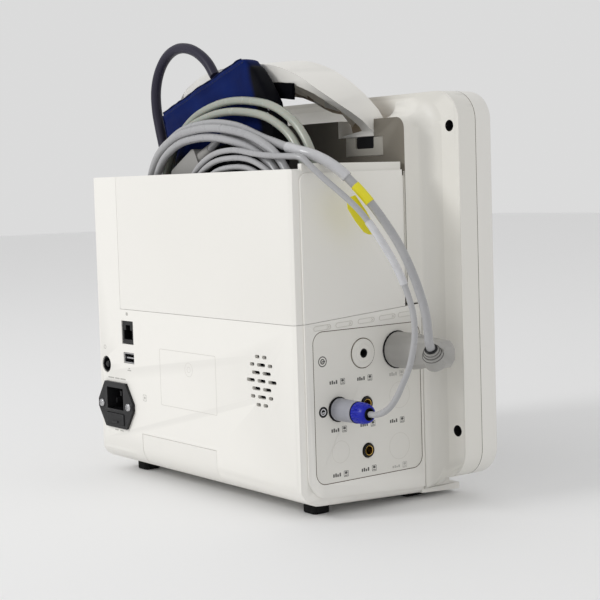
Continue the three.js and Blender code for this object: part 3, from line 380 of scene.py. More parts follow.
def refine(node, mat, width=0.5, segs=2, angle=30, dissolve=0.6, extra=(), smooth_angle=38, name=None, paint=(), skip=None):
    """A finer copy of a CAD node: flat facets joined up, edges rounded, then it stands for the node."""
    bm = bmesh.new()
    bm.from_mesh(nodes[node].data)
    bmesh.ops.remove_doubles(bm, verts=bm.verts, dist=2e-6)
    bmesh.ops.dissolve_limit(bm, angle_limit=math.radians(dissolve), verts=bm.verts, edges=bm.edges)
    for test, w, s in extra:
        picked = [e for e in bm.edges if len(e.link_faces) == 2 and e.calc_face_angle(0) > math.radians(20) and all(test(v.co.x * 1000, v.co.y * 1000 - YS, v.co.z * 1000 - ZO) for v in e.verts)]
        if picked:
            bmesh.ops.bevel(bm, geom=picked, offset=w / 1000, offset_type="OFFSET", segments=s, profile=0.5, affect="EDGES", clamp_overlap=True)
    if skip:
        weight = bm.edges.layers.float.new("bevel_weight_edge")
        for e in bm.edges:
            if len(e.link_faces) == 2 and e.calc_face_angle(0) > math.radians(angle) and not all(skip(v.co.x * 1000, v.co.y * 1000 - YS, v.co.z * 1000 - ZO) for v in e.verts):
                e[weight] = 1.0
    me = bpy.data.meshes.new(name or node + "_fine")
    bm.to_mesh(me)
    bm.free()
    obj = link(bpy.data.objects.new(name or node + "_fine", me))
    me.materials.append(mat)
    if width:
        mod = obj.modifiers.new("bevel", "BEVEL")
        mod.width = width / 1000
        mod.segments = segs
        mod.limit_method = "WEIGHT" if skip else "ANGLE"
        mod.angle_limit = math.radians(angle)
        mod.miter_outer = "MITER_SHARP"
        mod.use_clamp_overlap = True
        mod.harden_normals = False
        bpy.context.view_layer.update()
        dg = bpy.context.evaluated_depsgraph_get()
        new = bpy.data.meshes.new_from_object(obj.evaluated_get(dg))
        obj.modifiers.clear()
        obj.data = new
        bpy.data.meshes.remove(me)
        new.name = obj.name
    if node == "rear_shell":
        for v in obj.data.vertices:
            if abs(v.co.y - YS / 1000) < 0.00012:
                v.co.y = YS / 1000
    for test, other in paint:
        obj.data.materials.append(other)
        k = len(obj.data.materials) - 1
        for poly in obj.data.polygons:
            c, nn = poly.center, poly.normal
            if test(c.x * 1000, c.y * 1000 - YS, c.z * 1000 - ZO, nn):
                poly.material_index = k
    finish_mesh(obj, smooth_angle)
    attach(obj, BODY_OF[node])
    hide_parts(node)
    return obj


def carry(node, mat, smooth_angle=32):
    """The CAD node stays as it is, with a finished material and smooth shading."""
    o = nodes[node]
    o.data.materials.clear()
    o.data.materials.append(mat)
    for poly in o.data.polygons:
        poly.use_smooth = True
    o.data.set_sharp_from_angle(angle=math.radians(smooth_angle))
    mod = o.modifiers.new("wn", "WEIGHTED_NORMAL")
    mod.keep_sharp = True
    return o


def lathe_bm(profile, seg, origin, axis, bm=None, closed=False):
    """profile: (radius, height) in mm, closed to the axis at both ends or left open; axis: direction of height."""
    bm = bm or bmesh.new()
    a = Vector(axis).normalized()
    side = a.orthogonal().normalized()
    up = a.cross(side)
    o = W(*origin)
    rings = []
    for r, h in profile:
        c = o + a * (h / 1000)
        if r < 1e-6:
            rings.append([bm.verts.new(c)])
        else:
            rings.append([bm.verts.new(c + (side * math.cos(t) + up * math.sin(t)) * (r / 1000)) for t in [2 * math.pi * i / seg for i in range(seg)]])
    if closed:
        rings.append(rings[0])
    for p, q in zip(rings, rings[1:]):
        for i in range(seg):
            j = (i + 1) % seg
            quad = [p[i % len(p)], p[j % len(p)], q[j % len(q)], q[i % len(q)]]
            uniq = []
            for v in quad:
                if v not in uniq:
                    uniq.append(v)
            if len(uniq) > 2:
                bm.faces.new(uniq)
    bmesh.ops.recalc_face_normals(bm, faces=bm.faces)
    return bm


def rrect_pts(x0, x1, y0, y1, r, n=5):
    pts = []
    for cx, cy, a0 in ((x1 - r, y1 - r, 0), (x0 + r, y1 - r, 90), (x0 + r, y0 + r, 180), (x1 - r, y0 + r, 270)):
        for i in range(n + 1):
            a = math.radians(a0 + 90 * i / n)
            pts.append((cx + r * math.cos(a), cy + r * math.sin(a)))
    return pts


def plate_bm(pts, place, thick, bm=None, edge=0.0):
    """A thin plate: outline pts in 2-D, place(u, v, w) to a point, from w = 0 out to thick, with a small edge chamfer."""
    bm = bm or bmesh.new()
    cx = sum(p[0] for p in pts) / len(pts)
    cy = sum(p[1] for p in pts) / len(pts)

    def inset(d):
        return [(x - (x - cx) / max(1e-6, math.hypot(x - cx, y - cy)) * d, y - (y - cy) / max(1e-6, math.hypot(x - cx, y - cy)) * d) for x, y in pts]

    layers = [(pts, 0.0), (pts, thick - edge)]
    if edge:
        layers.append((inset(edge), thick))
    rings = [[bm.verts.new(place(x, y, w)) for x, y in ps] for ps, w in layers]
    n = len(pts)
    faces = [bm.faces.new(rings[0]), bm.faces.new(list(reversed(rings[-1])))]
    for a, b in zip(rings, rings[1:]):
        for i in range(n):
            faces.append(bm.faces.new((a[i], a[(i + 1) % n], b[(i + 1) % n], b[i])))
    bmesh.ops.recalc_face_normals(bm, faces=bm.faces)
    return bm


# ------------------------------------------------------------------ cords
def handles(pts):
    n = len(pts)
    left, right = [None] * n, [None] * n
    for i, p in enumerate(pts):
        a, b = pts[max(0, i - 1)], pts[min(n - 1, i + 1)]
        la, lb = (p - a).length, (b - p).length
        if i == 0:
            t = (b - p).normalized()
        elif i == n - 1:
            t = (p - a).normalized()
        else:
            t = ((p - a) / la * lb + (b - p) / lb * la).normalized()
        left[i], right[i] = p - t * la / 3, p + t * lb / 3
    return left, right


def sample(pts, k=10):
    left, right = handles(pts)
    out = []
    for i in range(len(pts) - 1):
        p0, p1, p2, p3 = pts[i], right[i], left[i + 1], pts[i + 1]
        for j in range(k):
            t = j / k
            s = 1 - t
            out.append(p0 * s**3 + p1 * 3 * s * s * t + p2 * 3 * s * t * t + p3 * t**3)
    out.append(pts[-1])
    return out


def tube(name, pts, radius, mat, res=8, sides=3, body="monitor", replaces=()):
    cu = bpy.data.curves.new(name, "CURVE")
    cu.dimensions = "3D"
    cu.resolution_u = res
    cu.bevel_depth = radius / 1000
    cu.bevel_resolution = sides
    cu.use_fill_caps = True
    cu.twist_mode = "MINIMUM"
    sp = cu.splines.new("BEZIER")
    sp.bezier_points.add(len(pts) - 1)
    left, right = handles(pts)
    for i, bp in enumerate(sp.bezier_points):
        bp.handle_left_type = bp.handle_right_type = "FREE"
        bp.co, bp.handle_left, bp.handle_right = pts[i], left[i], right[i]
    cu.materials.append(mat)
    obj = link(bpy.data.objects.new(name, cu))
    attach(obj, body)
    if replaces:
        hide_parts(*replaces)
    return obj


def sleeve_bm(line, r_out, r_in, seg=18, bm=None):
    """A short open-ended sleeve that follows a line of points."""
    bm = bm or bmesh.new()
    n = len(line)
    frames = []
    prev = None
    for i, p in enumerate(line):
        t = (line[min(n - 1, i + 1)] - line[max(0, i - 1)]).normalized()
        if prev is None:
            u = t.orthogonal().normalized()
        else:
            u = (prev - t * prev.dot(t)).normalized()
        prev = u
        frames.append((p, u, t.cross(u)))
    def ringat(i, r):
        p, u, v = frames[i]
        return [bm.verts.new(p + (u * math.cos(a) + v * math.sin(a)) * (r / 1000)) for a in [2 * math.pi * k / seg for k in range(seg)]]
    outer = [ringat(i, r_out) for i in range(n)]
    inner = [ringat(i, r_in) for i in range(n)]
    def strip(a, b, flip=False):
        for k in range(seg):
            q = (a[k], a[(k + 1) % seg], b[(k + 1) % seg], b[k])
            bm.faces.new(tuple(reversed(q)) if flip else q)
    for a, b in zip(outer, outer[1:]):
        strip(a, b)
    for a, b in zip(inner, inner[1:]):
        strip(a, b, True)
    strip(inner[0], outer[0])
    strip(outer[-1], inner[-1])
    bmesh.ops.recalc_face_normals(bm, faces=bm.faces)
    return bm


def turns(path, steps):
    """Coil points from a list of (angle in degrees, centre x, centre z, half width, half height, lean, y), smoothly joined; angles fall as the cord runs."""
    out = []
    a_end = path[-1][0]
    a = path[0][0]
    i = 0
    while a >= a_end - 1e-6:
        while i < len(path) - 2 and a < path[i + 1][0]:
            i += 1
        p, q = path[i], path[i + 1]
        s = (p[0] - a) / (p[0] - q[0])
        s = s * s * (3 - 2 * s)
        cx, cz, ra, rb, lean, y = [p[k] * (1 - s) + q[k] * s for k in range(1, 7)]
        c, sn = math.cos(math.radians(a)), math.sin(math.radians(a))
        x = ra * math.copysign(abs(c) ** (2 / 2.3), c)
        z = rb * math.copysign(abs(sn) ** (2 / 2.3), sn) + lean * x
        out.append(W(cx + x, y, cz + z))
        a -= steps
    return out


# ECG trunk cable: out of the plug, up and over the bin's rim, then round in the bin to the junction block
ECG_ROUTE = [W(*p) for p in (
    (-182.1, -72.4, 99.8), (-183.9, -69.4, 104), (-184.6, -68, 111.5), (-184.2, -66.8, 122), (-181.6, -64.6, 136), (-178, -61, 151), (-173, -56, 167.2), (-166, -49.6, 183.2),
    (-157.2, -42, 199.3), (-149.6, -36.4, 210), (-142.5, -31.2, 218.7), (-135, -26, 225), (-127, -21.6, 229.3), (-116, -19, 232.2), (-104, -18.9, 235), (-91, -19.2, 238.4),
)]
E_COIL = turns([
    # angle, cx, cz, a, b, lean, y
    (122, -24, 193, 93.6, 61.6, 0.085, -19.5),
    (0, -24, 193, 93.6, 61.6, 0.085, -19.5),
    (-90, -24, 193, 93, 61.4, 0.06, -18),
    (-180, -25, 193, 92.6, 61.2, 0.03, -13.4),
    (-250, -26, 191, 91.6, 60.2, 0.05, -12.7),
    (-340, -26, 191, 91, 60, 0.09, -12.7),
    (-450, -25, 191.6, 87, 55.6, 0.06, -12.8),
    (-540, -25, 191.6, 84.6, 53.4, 0.03, -12.8),
    (-620, -26, 191, 84.6, 53.4, 0.09, -12.8),
    (-700, -26, 191, 84.6, 53.6, 0.09, -13.4),
    (-790, -26, 192, 84.8, 53.8, 0.06, -19),
    (-880, -26, 192, 84.8, 53.6, 0.03, -19.5),
    (-950, -26, 192, 84.6, 52.6, 0.04, -19.8),
    (-966, -26, 192, 84, 50.6, 0.04, -21),
], 22.5)
BLOCK = Vector((24, -24.8, 223.6))
CB, SB = math.cos(math.radians(28)), math.sin(math.radians(28))


def on_block(u, w, v):
    """A point on the junction block: u along it, w towards the rear face, v across, in mm."""
    return W(BLOCK.x + u * CB + v * SB, BLOCK.y + w, BLOCK.z - u * SB + v * CB)


E_TAIL = [on_block(-46, 2.2, -1.0), on_block(-37, 0.6, -0.2), on_block(-30.6, 0, 0)]
ecg_pts = ECG_ROUTE + E_COIL + E_TAIL
ecg = tube("ecg_trunk_cable", ecg_pts, 3.0, M["cable"], res=8, sides=4, replaces=("ecg_cable", "ecg_coil"))
ecg_line = sample(ecg_pts, 12)

# SpO2 cable: out of its plug in a wide bow, over the rim and round in the bin
SPO2_ROUTE = [W(*p) for p in (
    (-165.8, -32.4, 59), (-171, -32.4, 59.3), (-177.5, -32.6, 61), (-184.4, -33.2, 65.2), (-190.8, -34.4, 73), (-194.8, -36.2, 81.8), (-197.4, -38.6, 90), (-198.8, -41, 100), (-199, -43.2, 111),
    (-197.6, -43.8, 125), (-194.4, -42.4, 138), (-188, -38.6, 156), (-178.5, -33.2, 174.5), (-167.5, -27, 191.6), (-156, -21, 203.6), (-146.5, -16.2, 212.4), (-138, -12.6, 220.4), (-130, -9.8, 227.2), (-119, -8, 228.6),
    (-107, -7.2, 229.2), (-95, -6.9, 230),
)]
S_COIL = turns([
    (112, -55, 181, 63.4, 54, 0, -6.9),
    (-60, -55, 181, 63.4, 53.8, 0, -6.9),
    (-180, -55, 180, 61.6, 50.6, 0, -6.9),
    (-290, -54, 180, 59, 49.4, 0, -6.9),
    (-450, -54.5, 180, 56.4, 45.4, 0, -6.9),
    (-600, -55, 180, 53.4, 43.6, 0, -6.9),
    (-700, -55, 180, 52, 41.5, 0, -6.9),
    (-716, -55, 180, 51.5, 40, 0, -7.2),
], 22.5)
S_TAIL = [W(-1, -8.6, 172), W(-3.6, -9.8, 163.6), W(-9.2, -10.8, 157), W(-17.6, -11.2, 154)]
spo2_pts = SPO2_ROUTE + S_COIL + S_TAIL
spo2 = tube("spo2_cord", spo2_pts, 2.1, M["cable"], res=8, sides=3, replaces=("spo2_cable", "spo2_coil"))
spo2_line = sample(spo2_pts, 12)

# patient lead: from the junction block into its own turns, ending in its plug in the bin
LEAD_ROUTE = [on_block(18.6, 0, -1), on_block(22.6, -0.4, -1.8), W(47.4, -25.8, 208.8), W(52, -26, 201.6), W(56.6, -25.9, 191)]
G_COIL = turns([
    (-14, -27, 200, 88, 62.6, 0, -26.3),
    (-90, -27, 200, 88.6, 62.4, 0, -26.3),
    (-250, -26, 200, 89.6, 62.8, 0, -26.3),
    (-360, -26, 200, 91, 63.4, 0, -26.2),
    (-450, -26.6, 200, 92.4, 66.6, 0, -29),
    (-540, -27, 200.4, 94, 69.6, 0, -30.7),
    (-690, -27, 200.4, 94, 70.6, 0, -30.8),
    (-740, -27, 200.4, 92.6, 69, 0, -30.8),
    (-800, -27, 200, 88, 62, 0, -30.8),
    (-822, -27, 200, 80, 50, 0, -30.4),
], 22.5)
G_TAIL = [W(-18, -29.2, 155), W(-31.4, -28.4, 157.1)]
lead_pts = LEAD_ROUTE + G_COIL + G_TAIL
lead = tube("patient_lead", lead_pts, 3.0, M["lead"], res=8, sides=4, replaces=("lead_cable", "lead_coil"))
lead_line = sample(lead_pts, 12)

# air hose: out of the rolled cuff, over the bin's edge in a high bow and down to its connector
HOSE = [W(*p) for p in (
    (14, -42, 292.2), (22, -42, 301.6), (34, -42, 310), (49, -42, 315.6), (65, -42, 316.6), (80, -42, 311.6), (91, -42, 301.4), (97, -42, 287.6), (97, -42, 272), (93, -42, 256), (88, -42, 240),
    (84.6, -42, 224), (82, -43, 208), (78, -46, 191), (71, -52, 174), (60, -60, 158.6), (45, -68, 145.6), (26, -74.6, 135.6), (6, -77.6, 131), (-16, -78.2, 129.6), (-40, -78.2, 129.4), (-64, -78.2, 129.4), (-84, -78.2, 129.4),
)]
hose = tube("cuff_air_hose", HOSE, 4.0, M["hose"], res=8, sides=5, replaces=("air_hose",))
hose_line = sample(HOSE, 12)


# ------------------------------------------------------------------ CAD nodes, refined
def near_y(y, tol=0.25):
    return lambda X, Y, Z: abs(Y - y) < tol


refine("rear_shell", M["shell"], 0.45, 2, 32, skip=lambda X, Y, Z: -118 < X < -64 and 52 < Z < 103 and Y > -8)
# the bin's inner faces below its rim get painted shade
refine("storage_bin", M["shell"], 0.55, 2, 32,
       paint=[(lambda X, Y, Z, N: -128 < X < 90.5 and -86.5 < Y < -3.6 and 122 < Z < 219 and not (Z > 216 and N.z > 0.5), M["bin_interior_shade"])])
refine("battery_door", M["shell"], 0.4, 2, 32)
SCREWS = ((-156, 247), (-157.5, 36), (156, 247), (157.5, 36))


# painted shade: the walls of the housing's screw counterbores go black
def in_shaded_screw_hole(X, Y, Z, N):
    return Y < -118.7 and abs(N.y) < 0.9 and any(math.hypot(X - a, Z - b) < 4.4 for a, b in SCREWS)


# the pod's rear face under the grip gets the bin's painted shade, a shadow from the grip and the cuff
refine("display_rear_housing", M["display"], 0.7, 3, 34,
       extra=[(lambda X, Y, Z: abs(Y + 118.5) < 0.25 and (abs(X) > 164.5 or Z > 271 or Z < 2 or math.hypot(max(0, abs(X) - 144), max(0, abs(Z - 136.5) - 114)) > 20.6), 1.5, 3)],
       paint=[(in_shaded_screw_hole, M["black"]), (lambda X, Y, Z, N: abs(X) < 60 and -102 < Y < -97 and 125 < Z < 252 and N.y > 0.9, M["bin_interior_shade"])])
refine("front_bezel", M["bezel"], 0.6, 2, 40)
FRONT_T = ((302, -87), (287, -89), (278, -93), (269, -98.5), (259, -106), (250, -110.4), (242, -112), (232, -112))
REAR_T = ((302, -52.6), (290, -53.6), (281, -56.5), (270, -66), (262, -77), (254, -88), (247, -96.6), (242.4, -100.2), (232, -100.2))


def table(t, z):
    if z >= t[0][0]:
        return t[0][1]
    for (z0, y0), (z1, y1) in zip(t, t[1:]):
        if z >= z1:
            return y1 + (z - z1) / (z0 - z1) * (y0 - y1)
    return t[-1][1]


def in_shaded_channel(X, Y, Z, N, ribs=False):
    """Inside the handle's open channel, where shade is painted: between its two walls and not on the outer skin."""
    t = 0.5
    for _ in range(3):
        z = Z + (t * 3.6 * min(1, (Z - 250) / 30) if Z > 250 else 0)
        t = (Y - table(FRONT_T, z)) / max(1, table(REAR_T, z) - table(FRONT_T, z))
    rad = Vector((X, 0, Z - 205))
    if rad.length < 1 or not 0.06 < t < 0.94:
        return False
    rad.normalize()
    if N.dot(rad) > 0.3:
        return False
    tangent = Vector((rad.z, 0, -rad.x))
    return Z > 236 and (abs(N.dot(tangent)) > 0.8) == ribs


# handle: channel faces painted dark brown shade, the ribs in it a lighter painted shade
refine("handle", M["shell"], 0.55, 3, 40, smooth_angle=42, paint=[(in_shaded_channel, M["channel"]), (lambda X, Y, Z, N: in_shaded_channel(X, Y, Z, N, True), M["rib"])])
refine("port_panel", M["panel"], 0.3, 2, 35)
# retainer plates in the painted-shade tone
refine("handle_retainer_right", M["retainer"], 0.25, 2, 32)
refine("handle_retainer_left", M["retainer"], 0.25, 2, 32)
refine("air_port", M["panel"], 0.25, 2, 40)
refine("ecg_socket", M["black"], 0.2, 2, 40)
refine("spo2_socket", M["black"], 0.2, 2, 40)
refine("mains_inlet", M["black"], 0.45, 2, 30)
refine("fuse_drawer", M["black"], 0.35, 2, 30)
for n_ in ("housing_screw_1", "housing_screw_2", "housing_screw_3", "housing_screw_4"):
    refine(n_, M["black"], 0.12, 2, 30)
for n_ in ("inlet_screw_1", "inlet_screw_2"):
    refine(n_, M["steel"], 0.12, 2, 30)
# the equipotential stud drawn black: painted shade of its recess
refine("equipotential_stud", M["black"], 0.2, 2, 40)
refine("network_socket", M["black"], 0.3, 2, 30)
refine("usb_socket", M["steel"], 0.2, 2, 30)
for n_ in ("foot_rear_right", "foot_rear_left", "foot_front_right", "foot_front_left"):
    refine(n_, M["rubber"], 0.5, 2, 40)
for n_ in ("front_key_1", "front_key_2", "front_key_3", "front_key_4", "power_key"):
    refine(n_, M["key"], 0.4, 2, 35)
refine("rotary_knob", M["bezel"], 0.4, 2, 35)
refine("alarm_lens", M["lens"], 0.7, 3, 30)
refine("screen_window", M["screen"], 0.3, 2, 30)
refine("lcd_module", M["steel"], 0.5, 2, 30)
for n_ in ("main_board", "power_board", "parameter_board"):
    refine(n_, M["board"], 0.3, 1, 30)
refine("air_pump", M["steel"], 0.5, 2, 30)
refine("speaker", M["satin_black"], 0.4, 2, 30)
refine("battery", M["battery"], 1.2, 3, 30)
for n_ in ("handle_pin_right", "handle_pin_left"):
    refine(n_, M["steel"], 0.2, 2, 30)
refine("ecg_plug", M["plug"], 0.8, 3, 30, smooth_angle=40)
refine("junction_block", M["plug"], 1.4, 3, 30)
refine("lead_plug", M["plug"], 1.2, 3, 30)
refine("spo2_sensor_plug", M["plug"], 1.2, 3, 30)
refine("hose_connector", M["plug"], 0.4, 2, 35)
# ------------------------------------------------------------------ plugs and jacks made here
S_AT = (-133, -32.4, 58.9)
OUT = (-1, 0, 0)
barrel = from_bm("spo2_plug_barrel", lathe_bm([(0, -9), (5.1, -9), (5.1, 1.2), (7.2, 1.2), (7.65, 1.6), (7.65, 4), (7.5, 4.3), (7.5, 4.8), (7.62, 5.1), (7.4, 15.4), (7.28, 15.6), (7.28, 16), (7.38, 16.2), (7.3, 20.2), (7.0, 20.6), (0, 20.6)], 56, S_AT, OUT), M["plug_grey"], replaces=("spo2_plug",))


def collar_bm():
    bm = bmesh.new()
    seg = 112
    rows = [(6.6, 20.9, 0), (7.05, 21.1, 0), (7.2, 21.6, 0), (7.2, 22.2, 0.5), (7.2, 23, 1), (7.15, 25, 1), (7.05, 27, 1), (6.9, 27.8, 0.55), (6.75, 28.4, 0), (6.5, 29.6, 0), (6.1, 30.8, 0), (5.6, 31.7, 0), (5.0, 32.2, 0), (4.3, 32.3, 0), (3.9, 32.0, 0), (3.75, 31.2, 0), (3.7, 28, 0)]
    o = W(*S_AT)
    rings = []
    for r, h, g in rows:
        ring_ = []
        for i in range(seg):
            t = 2 * math.pi * i / seg
            c = math.cos(14 * t)
            rr = r - 0.8 * g * max(0.0, c) ** 0.7
            ring_.append(bm.verts.new(o + Vector((-h, rr * math.cos(t), rr * math.sin(t))) / 1000))
        rings.append(ring_)
    for a, b in zip(rings, rings[1:]):
        for i in range(seg):
            bm.faces.new((a[i], a[(i + 1) % seg], b[(i + 1) % seg], b[i]))
    bm.faces.new(rings[0])
    bm.faces.new(list(reversed(rings[-1])))
    bmesh.ops.recalc_face_normals(bm, faces=bm.faces)
    return bm


collar = from_bm("spo2_plug_collar", collar_bm(), M["plug_blue"], smooth_angle=50)
# the collar's inner bore round the cable painted black: painted shade in the hole
collar.data.materials.append(M["black"])
for poly in collar.data.polygons:
    c = poly.center
    o = W(*S_AT)
    if math.hypot(c.y - o.y, c.z - o.z) < 0.0042 and (o.x - c.x) > 0.027:
        poly.material_index = 1
from_bm("spo2_plug_ring", lathe_bm([(6.4, 20.5), (7.45, 20.5), (7.45, 21.0), (6.4, 21.0)], 48, S_AT, OUT, closed=True), M["black"])
for k_, (jy, jz) in enumerate(((-57.4, 59.7), (-57.8, 27.6)), 1):
    at = (-133, jy, jz)
    from_bm("temp_jack_%d_sleeve" % k_, lathe_bm([(2.75, -12), (3.5, -12), (3.5, 0.7), (3.3, 1.0), (3.0, 0.9), (2.75, 0.4)], 44, at, OUT, closed=True), M["brass"], replaces=("temp_jack_%d" % k_,))
    from_bm("temp_jack_%d_flange" % k_, lathe_bm([(3.6, 0.05), (4.7, 0.05), (4.7, 0.8), (4.4, 1.15), (3.9, 1.2), (3.6, 0.9)], 44, at, OUT, closed=True), M["black"])
    # black disc at the bottom of the bore: painted shade in the hole
    from_bm("temp_jack_%d_core" % k_, lathe_bm([(0, -6), (2.7, -6), (2.7, -5.2), (2.2, -4.8), (0, -4.8)], 32, at, OUT), M["black"])
A_AT = (-133, -55, 94.6)
# black bore and back disc: painted shade inside the port's hole
from_bm("air_port_bore_shade", lathe_bm([(2.5, -7.5), (3.15, -7.5), (3.15, 1.0), (2.9, 1.2), (2.5, 1.0)], 40, A_AT, OUT, closed=True), M["black"])
from_bm("air_port_back_shade", lathe_bm([(0, -7), (2.45, -7), (2.45, -6), (0, -6)], 32, A_AT, OUT), M["black"])
from_bm("air_port_gap", lathe_bm([(9.9, 0.02), (10.45, 0.02), (10.45, 0.1), (9.9, 0.1)], 64, A_AT, OUT, closed=True), M["seam"])
# black ring round the ECG cable where it enters the plug: painted shade of the entry hole
from_bm("ecg_plug_entry_shade", lathe_bm([(3.05, 0.4), (4.5, 0.4), (4.5, 0.9), (3.7, 1.3), (3.05, 1.3)], 40, (-178.5 - 0.35 * 9.1, -78.6 + 0.6 * 9.1, 92.3 + 0.72 * 9.1), (-0.35, 0.6, 0.72), closed=True), M["black"])
# dark rings at the plug's steps: painted shade in its grooves
for n_, (h_, r_) in {"a": (3.9, 7.34), "b": (6.0, 6.44), "c": (7.9, 5.54)}.items():
    from_bm("ecg_plug_groove_" + n_, lathe_bm([(r_ - 0.9, h_ - 0.25), (r_ + 0.02, h_ - 0.25), (r_ + 0.02, h_ + 0.1), (r_ - 0.9, h_ + 0.1)], 40, (-178.5, -78.6, 92.3), (-0.35, 0.6, 0.72), closed=True), M["print_and_groove_shade"])
from_bm("equipotential_pin", lathe_bm([(0, -5.6), (2.1, -5.6), (2.1, -1.8), (1.4, -1.1), (0, -1.0)], 28, (118.5, 0, 72.2), (0, 1, 0)), M["steel"])


# ------------------------------------------------------------------ marks, seams and covers on the flat faces
def on_side(u, v, w):
    return W(-133 - w, u, v)


def on_rear(u, v, w):
    return W(u, w, v)


def outline_bm(outer_pts, inner_pts, place, w0, w1, bm=None):
    bm = bm or bmesh.new()
    n = len(outer_pts)
    a = [[bm.verts.new(place(x, y, w)) for x, y in pts] for pts, w in ((outer_pts, w0), (outer_pts, w1), (inner_pts, w1), (inner_pts, w0))]
    a.append(a[0])
    faces = []
    for p, q in zip(a, a[1:]):
        for i in range(n):
            faces.append(bm.faces.new((p[i], p[(i + 1) % n], q[(i + 1) % n], q[i])))
    bmesh.ops.recalc_face_normals(bm, faces=faces)
    return bm


def circle(cx, cy, r, n=40):
    return [(cx + r * math.cos(2 * math.pi * i / n), cy + r * math.sin(2 * math.pi * i / n)) for i in range(n)]


# connector panel: the thin gap round it
from_bm("panel_gap", outline_bm(rrect_pts(-107.35, -12.15, 9.35, 112.25, 8.35, 8), rrect_pts(-106.9, -12.6, 9.8, 111.8, 7.9, 8), on_side, -0.5, 0.03), M["seam"])


def slant(y, z):
    return z + 0.047 * (-y - 20)


bm = bmesh.new()
for yc in (-20.7, -39.5, -58.8, -77.7, -95.1):
    z = slant(yc, 114.6)
    tilt = lambda pts: [(u, v + 0.047 * (yc - u)) for u, v in pts]
    outline_bm(tilt(rrect_pts(yc - 7.4, yc + 7.4, z - 1.75, z + 1.75, 1.7, 5)), tilt(rrect_pts(yc - 7.0, yc + 7.0, z - 1.35, z + 1.35, 1.3, 5)), on_side, -0.05, 0.25, bm)
    plate_bm(tilt([(yc - 6.2, z), (yc - 4.4, z + 1.1), (yc - 4.4, z + 0.6), (yc - 5.2, z), (yc - 4.4, z - 0.6), (yc - 4.4, z - 1.1)]), on_side, 0.25, bm)
from_bm("panel_relief_marks", bm, M["panel_edge"])

LABELS = ((-33.2, 77.3), (-57.2, 77.3), (-86.1, 77.4), (-33.7, 44.9), (-58.9, 45.6), (-85.5, 44.9), (-34.1, 14.5), (-59, 14.7), (-86.8, 13.2))
bm = bmesh.new()
bm2 = bmesh.new()
for i, (yc, zc) in enumerate(LABELS):
    t = bm2 if i in (2, 8) else bm
    k = 0.5 if i == 8 else 1.0
    for u0, h_ in ((1.0, 1.5), (2.9, 1.0), (4.6, 1.5), (6.4, 1.3)):
        plate_bm(rrect_pts(yc + u0, yc + u0 + 1.25, zc - 1.2, zc - 1.2 + 2 * h_ * (0.6 if i == 8 else 0.85), 0.25, 2), on_side, 0.04, t)
    outline_bm(rrect_pts(yc - 5.6, yc - 1.6, zc - 2.1, zc + 2.1, 0.5, 3), rrect_pts(yc - 5.3, yc - 1.9, zc - 1.8, zc + 1.8, 0.3, 3), on_side, -0.02, 0.04, t)
    plate_bm(rrect_pts(yc - 4.7, yc - 2.5, zc - 0.2, zc + 1.5, 0.5, 3), on_side, 0.045, t)
    plate_bm(rrect_pts(yc - 4.9, yc - 2.3, zc - 1.4, zc - 0.9, 0.2, 2), on_side, 0.045, t)
from_bm("panel_port_marks", bm, M["print_and_groove_shade"])
from_bm("panel_port_marks_worn", bm2, M["ink_soft"])
bm = bmesh.new()
outline_bm(circle(-20.1, 92.1, 3.6), circle(-20.1, 92.1, 2.9), on_side, -0.02, 0.04, bm)
outline_bm(circle(-20.1, 92.1, 1.9), circle(-20.1, 92.1, 1.1), on_side, -0.02, 0.04, bm)
plate_bm(rrect_pts(-22.4, -19.2, 91.6, 92.4, 0.3, 2), on_side, 0.045, bm)
from_bm("round_mark_upper", bm, M["print_and_groove_shade"])
bm = bmesh.new()
plate_bm(circle(-19.6, 58.3, 3.7), on_side, 0.04, bm)
from_bm("round_mark_lower", bm, M["black"])
bm = bmesh.new()
outline_bm(circle(-19.6, 58.3, 2.3), circle(-19.6, 58.3, 1.6), on_side, 0.03, 0.07, bm)
plate_bm(rrect_pts(-21.6, -18.6, 57.5, 58.2, 0.3, 2), on_side, 0.08, bm)
from_bm("round_mark_lower_line", bm, M["white_print"])
bm = bmesh.new()
for yc, zc, r in ((-87.3, 62.5, 9.3), (-86.1, 26.9, 9.3), (-33.6, 29.8, 7.6)):
    outline_bm(circle(yc, zc, r, 56), circle(yc, zc, r - 0.3, 56), on_side, -0.02, 0.05, bm)
from_bm("blank_port_rings", bm, M["panel_faint"])

# light-coloured fill in the narrow seam between the column and the display housing
bm = bmesh.new()
for sx in (-1, 1):
    plate_bm([(-97.46, 126.5), (-97.24, 126.5), (-97.24, 217), (-97.46, 217)], lambda u, v, w, sx=sx: W(sx * (131.2 + w), u, v), 1.3, bm)
from_bm("column_seam_fill", bm, M["display"])

# rear face: blank cover outline, small plain marks by the sockets
bm = bmesh.new()
outline_bm(rrect_pts(-36, 38.6, 47.7, 90.3, 1.2, 3), rrect_pts(-35.6, 38.2, 48.1, 89.9, 0.9, 3), on_rear, -0.02, 0.06, bm)
outline_bm(circle(-0.8, 77.5, 5.2), circle(-0.8, 77.5, 4.9), on_rear, -0.02, 0.05, bm)
outline_bm(circle(-0.8, 77.5, 2.2), circle(-0.8, 77.5, 1.9), on_rear, -0.02, 0.05, bm)
from_bm("rear_blank_cover", bm, M["shell_faint"])
bm = bmesh.new()
outline_bm(rrect_pts(59.6, 64.6, 48, 53, 0.8, 3), rrect_pts(60, 64.2, 48.4, 52.6, 0.5, 3), on_rear, -0.02, 0.05, bm)
plate_bm(rrect_pts(61.2, 63, 49.4, 51.6, 0.5, 3), on_rear, 0.05, bm)
plate_bm(rrect_pts(81, 86.4, 69.4, 70.3, 0.3, 2), on_rear, 0.05, bm)
plate_bm(rrect_pts(82.6, 84.8, 71.0, 71.8, 0.3, 2), on_rear, 0.05, bm)
plate_bm(rrect_pts(83, 86, 112.6, 115, 0.4, 2), on_rear, 0.05, bm)
